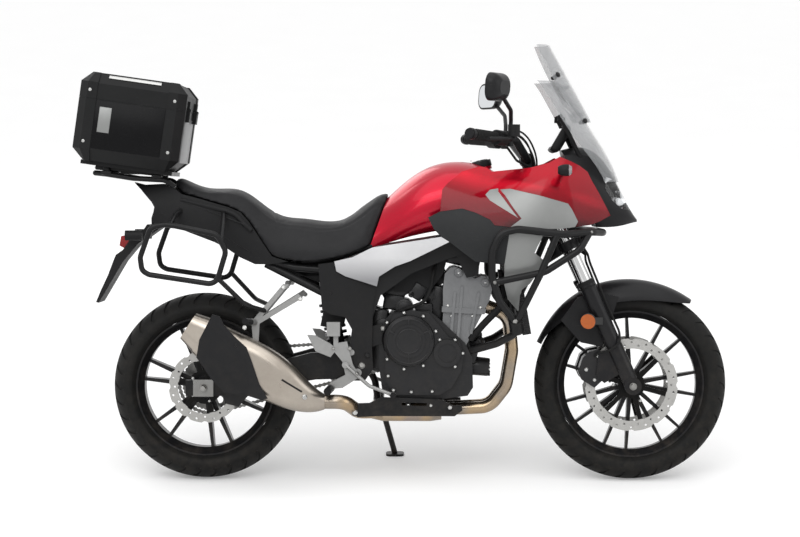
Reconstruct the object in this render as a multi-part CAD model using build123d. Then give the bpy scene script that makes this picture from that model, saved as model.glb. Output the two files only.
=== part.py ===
from build123d import *
from math import atan2, cos, degrees, hypot, radians, sin, tan
import os

# Adventure motorcycle on its side stand, in millimetres.
# Everything is drawn with the machine upright: x forward from the rear axle,
# y to the rider's left, z up from the ground.  place() then leans it.

os.makedirs("parts", exist_ok=True)

# ---------------------------------------------------------------- main sizes
WHEELBASE = 1445.0
FRONT_TYRE_RADIUS = 326.0
FRONT_TYRE_WIDTH = 110.0
REAR_TYRE_RADIUS = 316.0
REAR_TYRE_WIDTH = 156.0
FRONT_CROWN = 62.0          # crown radius across the tread
REAR_CROWN = 88.0
LEAN = 8.5                  # degrees to the left, on the side stand
RAKE = 24.5                 # steering axis from the vertical
FORK_OFFSET = 33.0          # fork legs ahead of the steering axis
STEER_REACH = 142.0         # what the fork sweeps ahead of the steering axis
STEER_LINE = STEER_REACH / cos(radians(RAKE))
RUNNING_CLEARANCE = 0.25    # shaft in bore
SEAM = 0.3                  # between two seated pieces

# ---------------------------------------------------------------- wheels
FRONT_RIM_RADIUS = 250.0
FRONT_RIM_WIDTH = 74.0
REAR_RIM_RADIUS = 236.0
REAR_RIM_WIDTH = 118.0
RIM_DEPTH = 26.0
BEAD_SEAT = 9.0             # rim flange above the bead seat
HUB_RADIUS_FRONT = 44.0
HUB_RADIUS_REAR = 58.0
AXLE_RADIUS_FRONT = 12.5
AXLE_BORE_FRONT = 7.0
AXLE_RADIUS_REAR = 12.0
AXLE_BORE_REAR = 7.0
FRONT_SPOKES = 14
REAR_SPOKES = 12
HUB_LENGTH_FRONT = 140.0
HUB_LENGTH_REAR = 168.0
CUSH_Y = 50.0               # outer face of the hub on the sprocket side

# ---------------------------------------------------------------- brakes and drive
FRONT_DISC_RADIUS = 157.0
FRONT_DISC_BAND = 34.0
FRONT_DISC_Y = 66.0
REAR_DISC_RADIUS = 122.0
REAR_DISC_BAND = 30.0
REAR_DISC_Y = 74.0
DISC_THICKNESS = 5.0
SPROCKET_RADIUS = 96.0
SPROCKET_Y = 93.0
FRONT_SPROCKET_RADIUS = 40.0
CHAIN_WIDTH = 12.0
CHAIN_HEIGHT = 15.0

# ---------------------------------------------------------------- fork
LEG_Y = 105.0
STANCHION_RADIUS = 20.5
SLIDER_RADIUS = 27.0
SLIDER_TOP = 668.0
LOWER_YOKE_Z = 800.0
UPPER_YOKE_Z = 990.0
YOKE_THICKNESS = 32.0
STEM_RADIUS = 15.0
HEAD_TUBE_RADIUS = 30.0
HEAD_TUBE_LOW = 830.0
HEAD_TUBE_HIGH = 950.0
BAR_RADIUS = 14.0
GRIP_RADIUS = 17.5

# ---------------------------------------------------------------- tubes
SUBFRAME_TUBE = 13.0
RACK_TUBE = 9.0
CRASH_TUBE = 12.5
BRIDGE_HALF = 90.0          # cross tube between the two crash bars
HEADER_TUBE = 21.0
SKIN_WALL = 4.0

# ---------------------------------------------------------------- luggage
CASE_WIDTH = 400.0
CASE_WALL = 4.0
CASE_PITCH = 8.0
LID_GAP = 0.5

REAR_AXLE = (0.0, 0.0, REAR_TYRE_RADIUS)
FRONT_AXLE = (WHEELBASE, 0.0, FRONT_TYRE_RADIUS)
RAKE_TAN = tan(radians(RAKE))


def leg_x(z, behind=0.0):
    """x of the fork leg axis at height z, or of a parallel line behind it."""
    return WHEELBASE - (z - FRONT_TYRE_RADIUS) * RAKE_TAN - behind / cos(radians(RAKE))


# ---------------------------------------------------------------- helpers
def slab(points, y_low, y_high):
    """Outline in the x-z plane carried from y_low to y_high."""
    wire = Wire.make_polygon([(x, y_low, z) for x, z in points], close=True)
    return extrude(Face(wire), amount=y_high - y_low, dir=(0, 1, 0))


def both_sides(solid):
    """A piece and its mirror image across the middle plane."""
    return solid + mirror(solid, about=Plane.XZ)


def rod(start, end, radius, bore=0.0):
    """Straight round bar, or a tube when it has a bore."""
    a = Vector(*start)
    b = Vector(*end)
    plane = Plane(origin=a, z_dir=b - a)
    solid = extrude(plane * Circle(radius), amount=(b - a).length)
    if bore:
        solid -= extrude(plane * Circle(bore), amount=(b - a).length)
    return solid


def bent_path(points, bend):
    """Straight runs joined by tangent arcs."""
    corners = [Vector(*p) for p in points]
    edges = []
    last = corners[0]
    for before, corner, after in zip(corners, corners[1:], corners[2:]):
        u = (corner - before).normalized()
        v = (after - corner).normalized()
        half = radians(u.get_angle(v)) / 2
        room = 0.49 * min((corner - before).length, (after - corner).length)
        radius = min(bend, room / tan(half))
        reach = radius * tan(half)
        inward = (v - u).normalized()
        middle = corner + inward * (radius / cos(half) - radius)
        first = corner - u * reach
        second = corner + v * reach
        if (first - last).length > 0.05:
            edges.append(Line(last, first))
        edges.append(ThreePointArc(first, middle, second))
        last = second
    edges.append(Line(last, corners[-1]))
    return Wire([edge for item in edges for edge in item.edges()])


def pipe(points, radius, bend=40.0, bore=0.0):
    """Round tube along straight runs joined by tangent arcs."""
    path = bent_path(points, bend)
    start = Plane(origin=path @ 0, z_dir=path % 0)
    solid = sweep(start * Circle(radius), path=path)
    if bore:
        solid -= sweep(start * Circle(bore), path=path)
    return solid


def box(x0, x1, y0, y1, z0, z1):
    """Box between two corners."""
    block = Box(x1 - x0, y1 - y0, z1 - z0)
    return Pos((x0 + x1) / 2, (y0 + y1) / 2, (z0 + z1) / 2) * block


def across(x, z, radius, y_low, y_high):
    """Round bar lying across the machine."""
    return rod((x, y_low, z), (x, y_high, z), radius)


def grown(outline, by):
    """Side outline with a seam round it, as a cutter."""
    face = Face(Wire.make_polygon([(x, 0, z) for x, z in outline], close=True))
    wire = face.outer_wire().offset_2d(by, kind=Kind.INTERSECTION)
    return extrude(Face(wire), amount=300, dir=(0, 1, 0), both=True)


def crowned_section(x, crown, shoulder, waist, foot):
    """Closed section across the machine: crown arc, two flank arcs and a flat foot."""
    ys, zs = shoulder
    yw, zw = waist
    yf, zf = foot
    top = ThreePointArc((x, -ys, zs), (x, 0, crown), (x, ys, zs))
    left = ThreePointArc((x, ys, zs), (x, yw, zw), (x, yf, zf))
    base = Line((x, yf, zf), (x, -yf, zf))
    right = ThreePointArc((x, -yf, zf), (x, -yw, zw), (x, -ys, zs))
    return Face(Wire([top.edge(), left.edge(), base.edge(), right.edge()]))


def crowned_body(rows, grow=0.0):
    """Smooth body through crowned sections, grown all round by grow."""
    sections = []
    for x, crown, (ys, zs), (yw, zw), (yf, zf) in rows:
        sections.append(crowned_section(x, crown + grow, (ys + grow, zs + grow), (yw + grow, zw),
                                        (yf + grow, zf - grow)))
    return loft(sections)


def flank_section(x, top, middle, bottom, inset):
    """Closed section whose two flanks are arcs, moved inwards by inset."""
    yt, zt = top
    ym, zm = middle
    yb, zb = bottom
    left = ThreePointArc((x, yt - inset, zt), (x, ym - inset, zm), (x, yb - inset, zb))
    right = ThreePointArc((x, inset - yb, zb), (x, inset - ym, zm), (x, inset - yt, zt))
    base = Line((x, yb - inset, zb), (x, inset - yb, zb))
    lid = Line((x, inset - yt, zt), (x, yt - inset, zt))
    return Face(Wire([left.edge(), base.edge(), right.edge(), lid.edge()]))


def flank_body(rows, inset=0.0):
    """Smooth body between two curved flanks."""
    return loft([flank_section(*row, inset) for row in rows])



# ================================================================ wheels
def rim(radius, width, hub_radius, hub_length, bore, spokes, spoke_width, forked, flanges):
    """Cast wheel about the y axis: rim, hub with its two flanges, and radial spokes."""
    flange_right, flange_left = flanges
    half = width / 2
    seat = radius - BEAD_SEAT
    inner = radius - RIM_DEPTH
    profile = Polyline(
        (radius, -half), (radius, -half + 6), (seat, -half + 12), (seat - 2, -12),
        (seat - 2, 12), (seat, half - 12), (radius, half - 6), (radius, half),
        (radius - 6, half), (inner, half * 0.45), (inner, -half * 0.45), (radius - 6, -half),
        close=True)
    hoop = revolve(Plane.XY * Face(Wire(profile.edges())), Axis.Y)
    hub = rod((0, -hub_length / 2, 0), (0, hub_length / 2, 0), hub_radius * 0.62, bore)
    hub += rod((0, -flange_right, 0), (0, flange_left, 0), hub_radius, bore)
    length = inner - hub_radius + 10
    middle = hub_radius - 6
    arms = []
    for n in range(spokes):
        root = Plane(origin=(0, 0, middle), z_dir=(0, 0, 1)) * Rectangle(spoke_width, half * 1.15)
        tip = Plane(origin=(0, 0, middle + length), z_dir=(0, 0, 1)) * Rectangle(
            spoke_width * 0.62, half * 0.8)
        arm = loft([root, tip])
        lean = forked if n % 2 else -forked
        arms.append(Rot(0, 360 * n / spokes + lean, 0) * arm)
    return hoop + hub + arms


def tyre(radius, width, rim_radius, rim_width, crown):
    """Tyre about the y axis with a round crown."""
    half = width / 2
    seat = rim_radius - BEAD_SEAT + SEAM
    bead = rim_width / 2 - 13
    shoulder = radius - (crown - (crown ** 2 - (half * 0.9) ** 2) ** 0.5)
    outline = [
        Line((seat, -bead), (seat + 14, -bead)),
        ThreePointArc((seat + 14, -bead), (seat + 34, -half * 0.98), (shoulder, -half * 0.9)),
        ThreePointArc((shoulder, -half * 0.9), (radius, 0), (shoulder, half * 0.9)),
        ThreePointArc((shoulder, half * 0.9), (seat + 34, half * 0.98), (seat + 14, bead)),
        Line((seat + 14, bead), (seat, bead)),
        Line((seat, bead), (seat, -bead)),
    ]
    face = Face(Wire([e for item in outline for e in item.edges()]))
    return revolve(Plane.XY * face, Axis.Y)


def disc(radius, band, y, bolt_circle, holes):
    """Brake disc with a scalloped edge, drilled band and a carrier to the hub."""
    plane = Plane(origin=(0, y - DISC_THICKNESS / 2, 0), x_dir=(1, 0, 0), z_dir=(0, 1, 0))
    sheet = Circle(radius)
    sheet -= Circle(radius - band)
    for n in range(12):
        a = radians(360 * n / 12)
        sheet -= Pos((radius + 9) * cos(a), (radius + 9) * sin(a)) * Circle(14)
    for n in range(holes):
        a = radians(360 * n / holes)
        r = radius - band * (0.36 if n % 2 else 0.66)
        sheet -= Pos(r * cos(a), r * sin(a)) * Circle(3.6)
    for n in range(6):
        a = 360 * n / 6 + 15
        arm = Rot(0, 0, a) * Pos((radius - band + bolt_circle) / 2 + 2, 0) * Rectangle(
            radius - band - bolt_circle + 12, 16)
        sheet += arm
    sheet += Circle(bolt_circle + 8) - Circle(bolt_circle - 9)
    return extrude(plane * sheet, amount=DISC_THICKNESS)


FRONT_FLANGE = FRONT_DISC_Y - DISC_THICKNESS / 2 - SEAM
front_rim = rim(FRONT_RIM_RADIUS, FRONT_RIM_WIDTH, HUB_RADIUS_FRONT, HUB_LENGTH_FRONT,
                AXLE_RADIUS_FRONT + RUNNING_CLEARANCE, FRONT_SPOKES, 15.0, 3.0,
                (FRONT_FLANGE, FRONT_FLANGE))
rear_rim = rim(REAR_RIM_RADIUS, REAR_RIM_WIDTH, HUB_RADIUS_REAR, HUB_LENGTH_REAR,
               AXLE_RADIUS_REAR + RUNNING_CLEARANCE, REAR_SPOKES, 17.0, 6.0,
               (REAR_DISC_Y - DISC_THICKNESS / 2 - SEAM, CUSH_Y))
front_tyre = tyre(FRONT_TYRE_RADIUS, FRONT_TYRE_WIDTH, FRONT_RIM_RADIUS, FRONT_RIM_WIDTH,
                  FRONT_CROWN)
rear_tyre = tyre(REAR_TYRE_RADIUS, REAR_TYRE_WIDTH, REAR_RIM_RADIUS, REAR_RIM_WIDTH,
                 REAR_CROWN)
front_discs = both_sides(disc(FRONT_DISC_RADIUS, FRONT_DISC_BAND, -FRONT_DISC_Y, 38.0, 36)
                         - rod((0, -90, 0), (0, 90, 0), HUB_RADIUS_FRONT * 0.62 + SEAM))
rear_disc = (disc(REAR_DISC_RADIUS, REAR_DISC_BAND, -REAR_DISC_Y, 50.0, 24)
             - rod((0, -95, 0), (0, 95, 0), HUB_RADIUS_REAR * 0.62 + SEAM))
sprocket_blank = Circle(SPROCKET_RADIUS) - Circle(HUB_RADIUS_REAR * 0.62 + SEAM)
for n in range(42):
    a = radians(360 * n / 42)
    sprocket_blank -= Pos((SPROCKET_RADIUS + 2) * cos(a), (SPROCKET_RADIUS + 2) * sin(a)) * Circle(5)
for n in range(6):
    a = radians(60 * n)
    sprocket_blank -= Pos(68 * cos(a), 68 * sin(a)) * Circle(13)
sprocket = extrude(Plane(origin=(0, SPROCKET_Y - 3.5, 0), x_dir=(1, 0, 0), z_dir=(0, 1, 0))
                   * sprocket_blank, amount=7)
carrier = rod((0, CUSH_Y + SEAM, 0), (0, SPROCKET_Y - 3.5, 0), HUB_RADIUS_REAR * 0.9,
              HUB_RADIUS_REAR * 0.62 + SEAM)
sprocket += carrier

at_front = Pos(*FRONT_AXLE)
at_rear = Pos(*REAR_AXLE)
front_axle = at_front * rod((0, -LEG_Y - 33, 0), (0, LEG_Y + 30, 0), AXLE_RADIUS_FRONT,
                            AXLE_BORE_FRONT)
rear_axle = at_rear * rod((0, -146, 0), (0, 146, 0), AXLE_RADIUS_REAR, AXLE_BORE_REAR)

# ================================================================ fork
fork_parts = []
for side in (-1, 1):
    y = side * LEG_Y
    top = UPPER_YOKE_Z + 22
    fork_parts.append(rod((leg_x(SLIDER_TOP - 30), y, SLIDER_TOP - 30), (leg_x(top), y, top),
                          STANCHION_RADIUS))
stanchions = fork_parts[0] + fork_parts[1]
one_slider = rod((leg_x(345), -LEG_Y, 345), (leg_x(SLIDER_TOP), -LEG_Y, SLIDER_TOP), SLIDER_RADIUS)
one_slider += rod((leg_x(SLIDER_TOP - 6), -LEG_Y, SLIDER_TOP - 6),
                  (leg_x(SLIDER_TOP + 12), -LEG_Y, SLIDER_TOP + 12), SLIDER_RADIUS + 2)
one_slider += rod((WHEELBASE, -LEG_Y - 27, FRONT_TYRE_RADIUS),
                  (WHEELBASE, -LEG_Y + 22, FRONT_TYRE_RADIUS), 29)
one_slider += slab([(leg_x(380) - 26, 380), (leg_x(380) + 26, 380), (WHEELBASE + 25, 318),
                    (WHEELBASE - 25, 318)], -LEG_Y - 20, -LEG_Y + 20)
one_slider += slab([(1412, 450), (1440, 390), (1350, 335), (1322, 360), (1330, 440)],
                   -LEG_Y - 7, -LEG_Y + 7)
one_slider -= rod((leg_x(SLIDER_TOP - 31), -LEG_Y, SLIDER_TOP - 31), (leg_x(1000), -LEG_Y, 1000),
                  STANCHION_RADIUS + SEAM / 2)
one_slider -= rod((WHEELBASE, -300, FRONT_TYRE_RADIUS), (WHEELBASE, 300, FRONT_TYRE_RADIUS),
                  AXLE_RADIUS_FRONT + SEAM / 2)
fork_sliders = both_sides(one_slider)


def yoke(z, thickness, reach):
    """Fork clamp square to the legs, with its clamp bores."""
    plane = Plane(origin=(leg_x(z), 0, z), x_dir=(0, 1, 0),
                  z_dir=(-sin(radians(RAKE)), 0, cos(radians(RAKE))))
    sheet = Rectangle(2 * LEG_Y - 10, 52)
    sheet += Pos(-LEG_Y, 0) * Circle(reach)
    sheet += Pos(LEG_Y, 0) * Circle(reach)
    sheet += Pos(0, FORK_OFFSET) * Circle(34)
    sheet += Pos(0, -FORK_OFFSET) * Circle(34)
    sheet -= Pos(-LEG_Y, 0) * Circle(STANCHION_RADIUS + SEAM / 2)
    sheet -= Pos(LEG_Y, 0) * Circle(STANCHION_RADIUS + SEAM / 2)
    return extrude(plane * sheet, amount=thickness / 2, both=True)


lower_yoke = yoke(LOWER_YOKE_Z, YOKE_THICKNESS, 33)
upper_yoke = yoke(UPPER_YOKE_Z, YOKE_THICKNESS * 0.8, 31)


def head_point(z):
    """Point on the steering axis."""
    return (leg_x(z, FORK_OFFSET), 0.0, z)


stem = rod(head_point(LOWER_YOKE_Z), head_point(UPPER_YOKE_Z), STEM_RADIUS)
steering_yokes = lower_yoke + upper_yoke + stem

BAR_CLAMP = (leg_x(1068, FORK_OFFSET) + 20, 1085.0)
bar_half = [(BAR_CLAMP[0], 0, BAR_CLAMP[1]), (BAR_CLAMP[0], 75, BAR_CLAMP[1]),
            (BAR_CLAMP[0] - 45, 190, 1150), (BAR_CLAMP[0] - 190, 398, 1165)]
bar_points = [(x, -y, z) for x, y, z in reversed(bar_half[1:])] + bar_half[1:]
handlebar = pipe(bar_points, BAR_RADIUS, 70.0)
risers = None
for y in (-45, 45):
    riser = rod((leg_x(UPPER_YOKE_Z - 12, FORK_OFFSET), y, UPPER_YOKE_Z - 12),
                (BAR_CLAMP[0], y, BAR_CLAMP[1]), 17)
    riser += across(BAR_CLAMP[0], BAR_CLAMP[1], 24, y - 14, y + 14)
    risers = riser if risers is None else risers + riser
risers -= pipe(bar_points, BAR_RADIUS + SEAM / 2, 70.0)
steering_yokes += risers

GRIP_IN = Vector(*bar_half[2])
GRIP_OUT = Vector(*bar_half[3])
grip_dir = (GRIP_OUT - GRIP_IN).normalized()


def on_grip(distance):
    """Point on the bar, measured inwards from its end."""
    return GRIP_OUT - grip_dir * distance


grip = rod(on_grip(128), on_grip(4), GRIP_RADIUS, BAR_RADIUS + SEAM / 2)
bar_end = rod(on_grip(0), GRIP_OUT + grip_dir * 26, 17)
bar_end = bar_end + rod(GRIP_OUT + grip_dir * 8, GRIP_OUT + grip_dir * 20, 19)
grips = both_sides(grip)
bar_ends = both_sides(bar_end)

switch = rod(on_grip(182), on_grip(134), 25, BAR_RADIUS + SEAM / 2)
side_dir = Vector(grip_dir.Y, -grip_dir.X, 0).normalized()
lever_root = on_grip(172) + side_dir * 42
lever = rod(on_grip(172) + side_dir * 24, lever_root, 9)
lever += pipe([tuple(lever_root), tuple(on_grip(120) + side_dir * 56 + Vector(0, 0, -6)),
               tuple(on_grip(20) + side_dir * 46 + Vector(0, 0, -14))], 6, 60)
reservoir = rod(on_grip(168) + side_dir * 48 + Vector(0, 0, 4),
                on_grip(168) + side_dir * 48 + Vector(0, 0, 44), 20)
bar_bore = rod(on_grip(300), on_grip(100), BAR_RADIUS + SEAM / 2)
right_controls = mirror(switch + lever + reservoir - bar_bore, about=Plane.XZ)
hand_controls = right_controls + (switch + lever - bar_bore)

MIRROR_CENTRE = (972.0, -375.0, 1318.0)
mirror_root = on_grip(216)
mirror_root = Vector(mirror_root.X, -mirror_root.Y, mirror_root.Z)
stalk = pipe([tuple(mirror_root), (mirror_root.X + 4, mirror_root.Y - 6, 1206),
              (mirror_root.X + 2, mirror_root.Y - 50, 1246),
              (MIRROR_CENTRE[0] + 22, MIRROR_CENTRE[1] + 24, 1290)], 7, 36)
stalk += rod(tuple(mirror_root - Vector(0, 0, 24)), tuple(mirror_root + Vector(0, 0, 26)), 12)
right_bore = rod((on_grip(300).X, -on_grip(300).Y, on_grip(300).Z),
                 (on_grip(100).X, -on_grip(100).Y, on_grip(100).Z), BAR_RADIUS + SEAM / 2)
stalk -= right_bore
shell_plane = Plane(origin=MIRROR_CENTRE, x_dir=(0.55, 1, 0), z_dir=(-1, 0.55, 0.08))
mirror_shell = loft([shell_plane.offset(6) * RectangleRounded(126, 92, 34),
                     shell_plane.offset(-12) * RectangleRounded(122, 88, 32),
                     shell_plane.offset(-36) * RectangleRounded(70, 44, 20)])
mirrors = both_sides(mirror_shell + stalk)

# ================================================================ front fender


def fender_section(x, z, nx, nz, half, drop):
    """Arched section square to the fender's line."""
    crown = (x, 0, z)
    rim_point = (x - nx * drop, half, z - nz * drop)
    low_point = (x - nx * drop, -half, z - nz * drop)
    under = (x - nx * SKIN_WALL, 0, z - nz * SKIN_WALL)
    rim_in = (rim_point[0] - nx * 1, half - SKIN_WALL, rim_point[2] - nz * 1)
    low_in = (low_point[0] - nx * 1, SKIN_WALL - half, low_point[2] - nz * 1)
    edges = [ThreePointArc(low_point, crown, rim_point), Line(rim_point, rim_in),
             ThreePointArc(rim_in, under, low_in), Line(low_in, low_point)]
    return Face(Wire([e.edge() for e in edges]))


FENDER_RADIUS = FRONT_TYRE_RADIUS + 24.0
fender_rows = [
    # angle from straight up (forward positive), radius, half width, drop at the edges
    (-66, FENDER_RADIUS - 2, 48, 14),
    (-48, FENDER_RADIUS + 2, 68, 34),
    (-24, FENDER_RADIUS + 8, 77, 68),
    (0, FENDER_RADIUS + 6, 77, 70),
    (20, FENDER_RADIUS + 4, 72, 52),
    (36, FENDER_RADIUS + 4, 40, 14),
]
sections = []
for angle, radius, half, drop in fender_rows:
    a = radians(angle)
    sections.append(fender_section(WHEELBASE + radius * sin(a), FRONT_TYRE_RADIUS + radius * cos(a),
                                   sin(a), cos(a), half, drop))
fender_shell = loft(sections)
# cheek plates that carry the fender on the fork sliders
cheek = slab([(1205, 545), (1272, 470), (1345, 455), (1400, 625), (1330, 640), (1262, 622)],
             -LEG_Y + SLIDER_RADIUS + SEAM, -LEG_Y + SLIDER_RADIUS + SEAM + 5)
front_fender = fender_shell + both_sides(cheek)

caliper_outline = [(1262, 372), (1275, 345), (1318, 318), (1352, 350), (1356, 415), (1335, 448),
                   (1300, 440), (1278, 420)]
caliper_block = slab(caliper_outline, -LEG_Y + 7 + SEAM, -FRONT_DISC_Y + 26)
caliper_block -= at_front * rod((0, -FRONT_DISC_Y - 9, 0), (0, -FRONT_DISC_Y + 9, 0),
                                FRONT_DISC_RADIUS + 7)
front_calipers = both_sides(caliper_block)

# ================================================================ frame and engine
PIVOT = (534.0, 396.0)
RAIL_OUT = 150.0            # outer face of the frame's side rails
COVER_OUT = RAIL_OUT + 5.3


head_tube = rod(head_point(HEAD_TUBE_LOW), head_point(HEAD_TUBE_HIGH), HEAD_TUBE_RADIUS,
                STEM_RADIUS + RUNNING_CLEARANCE)
rail = slab([(1100, 842), (1060, 900), (960, 868), (790, 826), (645, 766), (576, 716),
             (530, 640), (508, 560), (502, 430), (500, 372), (566, 372), (556, 440),
             (566, 545), (596, 630), (700, 705), (830, 757), (960, 792)], -150, -128)
head_wing = slab([(1180, 822), (1112, 958), (1062, 930), (1060, 842), (1100, 806)], -42, -20)
# the bridge leans with the steering axis, clear of the turned fork legs
bridge_ends = [(-132, [(1020, 838), (1064, 838), (1037, 898), (993, 898)]),
               (-28, [(1100, 835), (1146, 835), (1105, 925), (1059, 925)])]
bridge = loft([Face(Wire.make_polygon([(x, y, z) for x, z in ends], close=True))
               for y, ends in bridge_ends])
frame_side = rail + head_wing + bridge
frame_side += across(PIVOT[0], PIVOT[1], 32, -150, -116)
nose_arm = slab([(1176, 846), (1156, 905)] + [(leg_x(z, FORK_OFFSET) + STEER_LINE - SEAM, z)
                                              for z in (905, 868)], -22, 22)
main_frame = both_sides(frame_side) + head_tube + nose_arm
main_frame += across(600, 690, 16, -130, 130)
main_frame += across(530, 520, 16, -130, 130)
main_frame -= rod(head_point(700), head_point(1100), STEM_RADIUS + RUNNING_CLEARANCE)
main_frame -= across(PIVOT[0], PIVOT[1], 12 + SEAM / 2, -200, 200)

pivot_shaft = rod((PIVOT[0], -150, PIVOT[1]), (PIVOT[0], 150, PIVOT[1]), 12, 7)

ENGINE_HALF = 118.0
FRONT_SPROCKET = (622.0, 420.0)
engine_outline = [(592, 520), (632, 572), (760, 578), (806, 540), (880, 470), (905, 420), (908, 320),
                  (890, 292), (800, 280), (640, 279), (602, 310), (590, 396)]
engine_block = slab(engine_outline, -ENGINE_HALF, ENGINE_HALF)
engine_block -= box(560, 690, SPROCKET_Y - 12, ENGINE_HALF + 5, 340, 500)
CYLINDER_HALF = 104.0
HEAD_HALF = 112.0
cylinder_outline = [(800, 460), (808, 588), (944, 578), (914, 520), (884, 460)]
head_outline = [(806, 580), (806, 650), (812, 702), (829, 722), (846, 726), (873, 716), (884, 700),
                (914, 686), (937, 696), (955, 692), (971, 679), (971, 649), (962, 612), (944, 578)]
cylinder_head = slab(cylinder_outline, -CYLINDER_HALF, CYLINDER_HALF)
cylinder_head += slab(head_outline, -HEAD_HALF, HEAD_HALF)
# gasket flange between cylinder and head, upright ribs and two round plugs on each side
flange_outline = [(802, 574), (803, 592), (952, 584), (946, 566)]
cylinder_head += slab(flange_outline, -HEAD_HALF - 3, HEAD_HALF + 3)
rib_rows = [(828, 486, 842, 640), (852, 486, 866, 660), (896, 500, 922, 640)]
for x_foot, z_foot, x_top, z_top in rib_rows:
    rib = slab([(x_foot, z_foot), (x_foot + 9, z_foot), (x_top + 9, z_top), (x_top, z_top)],
               -HEAD_HALF - 5, -CYLINDER_HALF + 2)
    cylinder_head += both_sides(rib)
for x, z, radius in [(858, 707, 14), (948, 674, 13)]:
    cylinder_head += both_sides(across(x, z, radius, -HEAD_HALF - 6, -HEAD_HALF + 4))
cylinder_head -= slab(engine_outline, -ENGINE_HALF - SEAM, ENGINE_HALF + SEAM)
# right side: dished clutch cover with a ring of bosses, small round cover, base cover
CLUTCH = (692.0, 478.0)
CLUTCH_RADIUS = 84.0
PUMP = (821.0, 437.0)
PUMP_RADIUS = 46.0
clutch_rows = [(-ENGINE_HALF - SEAM, CLUTCH_RADIUS + 6), (-ENGINE_HALF - 30, CLUTCH_RADIUS),
               (-ENGINE_HALF - 40, CLUTCH_RADIUS - 12)]
clutch_cover = loft([Plane(origin=(CLUTCH[0], y, CLUTCH[1]), z_dir=(0, -1, 0)) * Circle(radius)
                     for y, radius in clutch_rows], ruled=True)
clutch_cover += across(*CLUTCH, 55, -ENGINE_HALF - 46, -ENGINE_HALF - 38)
clutch_cover -= across(*CLUTCH, 47, -ENGINE_HALF - 60, -ENGINE_HALF - 43)
small_cover = across(*PUMP, PUMP_RADIUS, -ENGINE_HALF - 30, -ENGINE_HALF - SEAM)
small_cover -= across(*PUMP, PUMP_RADIUS - 14, -ENGINE_HALF - 40, -ENGINE_HALF - 26)
side_outline = [(612, 500), (640, 566), (700, 582), (758, 572), (796, 528), (824, 492), (862, 476),
                (876, 430), (868, 376), (836, 320), (796, 296), (646, 296), (614, 340), (612, 420)]
side_cover = slab(side_outline, -ENGINE_HALF - 16, -ENGINE_HALF - SEAM)
boss_places = [(CLUTCH[0] + 96 * cos(radians(a)), CLUTCH[1] + 96 * sin(radians(a)))
               for a in (20, 60, 100, 140, 220, 260, 300)]
boss_places += [(PUMP[0] + 52 * cos(radians(a)), PUMP[1] + 52 * sin(radians(a)))
                for a in (-60, 0, 60, 120)]
boss_places += [(640, 312), (700, 306), (770, 308), (622, 360)]
for x, z in boss_places:
    side_cover += across(x, z, 7.5, -ENGINE_HALF - 22, -ENGINE_HALF - SEAM)
right_cover = clutch_cover + small_cover + side_cover
left_cover = mirror(side_cover, about=Plane.XZ)
left_cover += loft([Plane(origin=(800, y, 420), z_dir=(0, 1, 0)) * Circle(radius)
                    for y, radius in [(ENGINE_HALF + SEAM, 80), (ENGINE_HALF + 34, 76),
                                      (ENGINE_HALF + 46, 58)]], ruled=True)
left_cover += rod((622, ENGINE_HALF + SEAM, 424), (622, ENGINE_HALF + 26, 424), 46)
engine_covers = right_cover + left_cover

engine_mounts = both_sides(slab([(850, 762), (930, 784), (925, 700), (885, 690)], -140, -112 - SEAM)
                           + slab([(540, 520), (602, 536), (600, 470), (550, 450)], -140,
                                  -ENGINE_HALF - SEAM))
main_frame += engine_mounts

radiator = box(1052, 1080, -165, 165, 500, 745)
radiator = Pos(1066, 0, 622) * Rot(0, -10, 0) * Pos(-1066, 0, -622) * radiator
radiator += both_sides(rod((1048, -139, 730), (1070, -139, 850), 8))
radiator -= main_frame

HEADER_Y = 62.0
header_tubes = []
for y in (-HEADER_Y, HEADER_Y):
    header_tubes.append(pipe([(950, y, 590), (1030, y, 560), (1042, y, 440), (1022, y * 0.9, 320),
                              (966, y * 0.7, 247), (860, y * 0.6, 241), (800, y * 0.6, 241)],
                             HEADER_TUBE, 70))
exhaust_headers = header_tubes[0] + header_tubes[1]
exhaust_headers -= slab(head_outline, -HEAD_HALF - SEAM, HEAD_HALF + SEAM)
exhaust_headers -= slab(cylinder_outline, -CYLINDER_HALF - SEAM, CYLINDER_HALF + SEAM)
exhaust_headers -= grown(flange_outline, SEAM)
CHAMBER_Z = 233.0
chamber_rows = [(802, 150, 58), (764, 214, 62), (604, 214, 62), (566, 140, 54)]
exhaust_chamber = loft([Plane(origin=(x, 0, CHAMBER_Z), x_dir=(0, 1, 0), z_dir=(-1, 0, 0))
                        * RectangleRounded(width, height, 26) for x, width, height in chamber_rows],
                       ruled=True)
exhaust_headers -= box(500, 802.0 + SEAM, -200, 200, 100, 320)
chamber_tube = pipe([(590, -60, 233), (520, -100, 236), (478, -186, 277), (412 + SEAM, -186, 277)],
                    24, 60)
exhaust_chamber += chamber_tube
chamber_clear = pipe([(590, -60, 233), (520, -100, 236), (478, -186, 277), (412, -186, 277)],
                     24 + SEAM, 60)

SILENCER_Y = -196.0


def silencer_ring(point, tilt, width, height):
    """Rounded section of the silencer square to its tilted axis."""
    a = radians(tilt)
    return Plane(origin=point, x_dir=(0, 1, 0), z_dir=(-cos(a), 0, sin(a))) * RectangleRounded(
        width, height, min(width, height) * 0.4)


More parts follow.
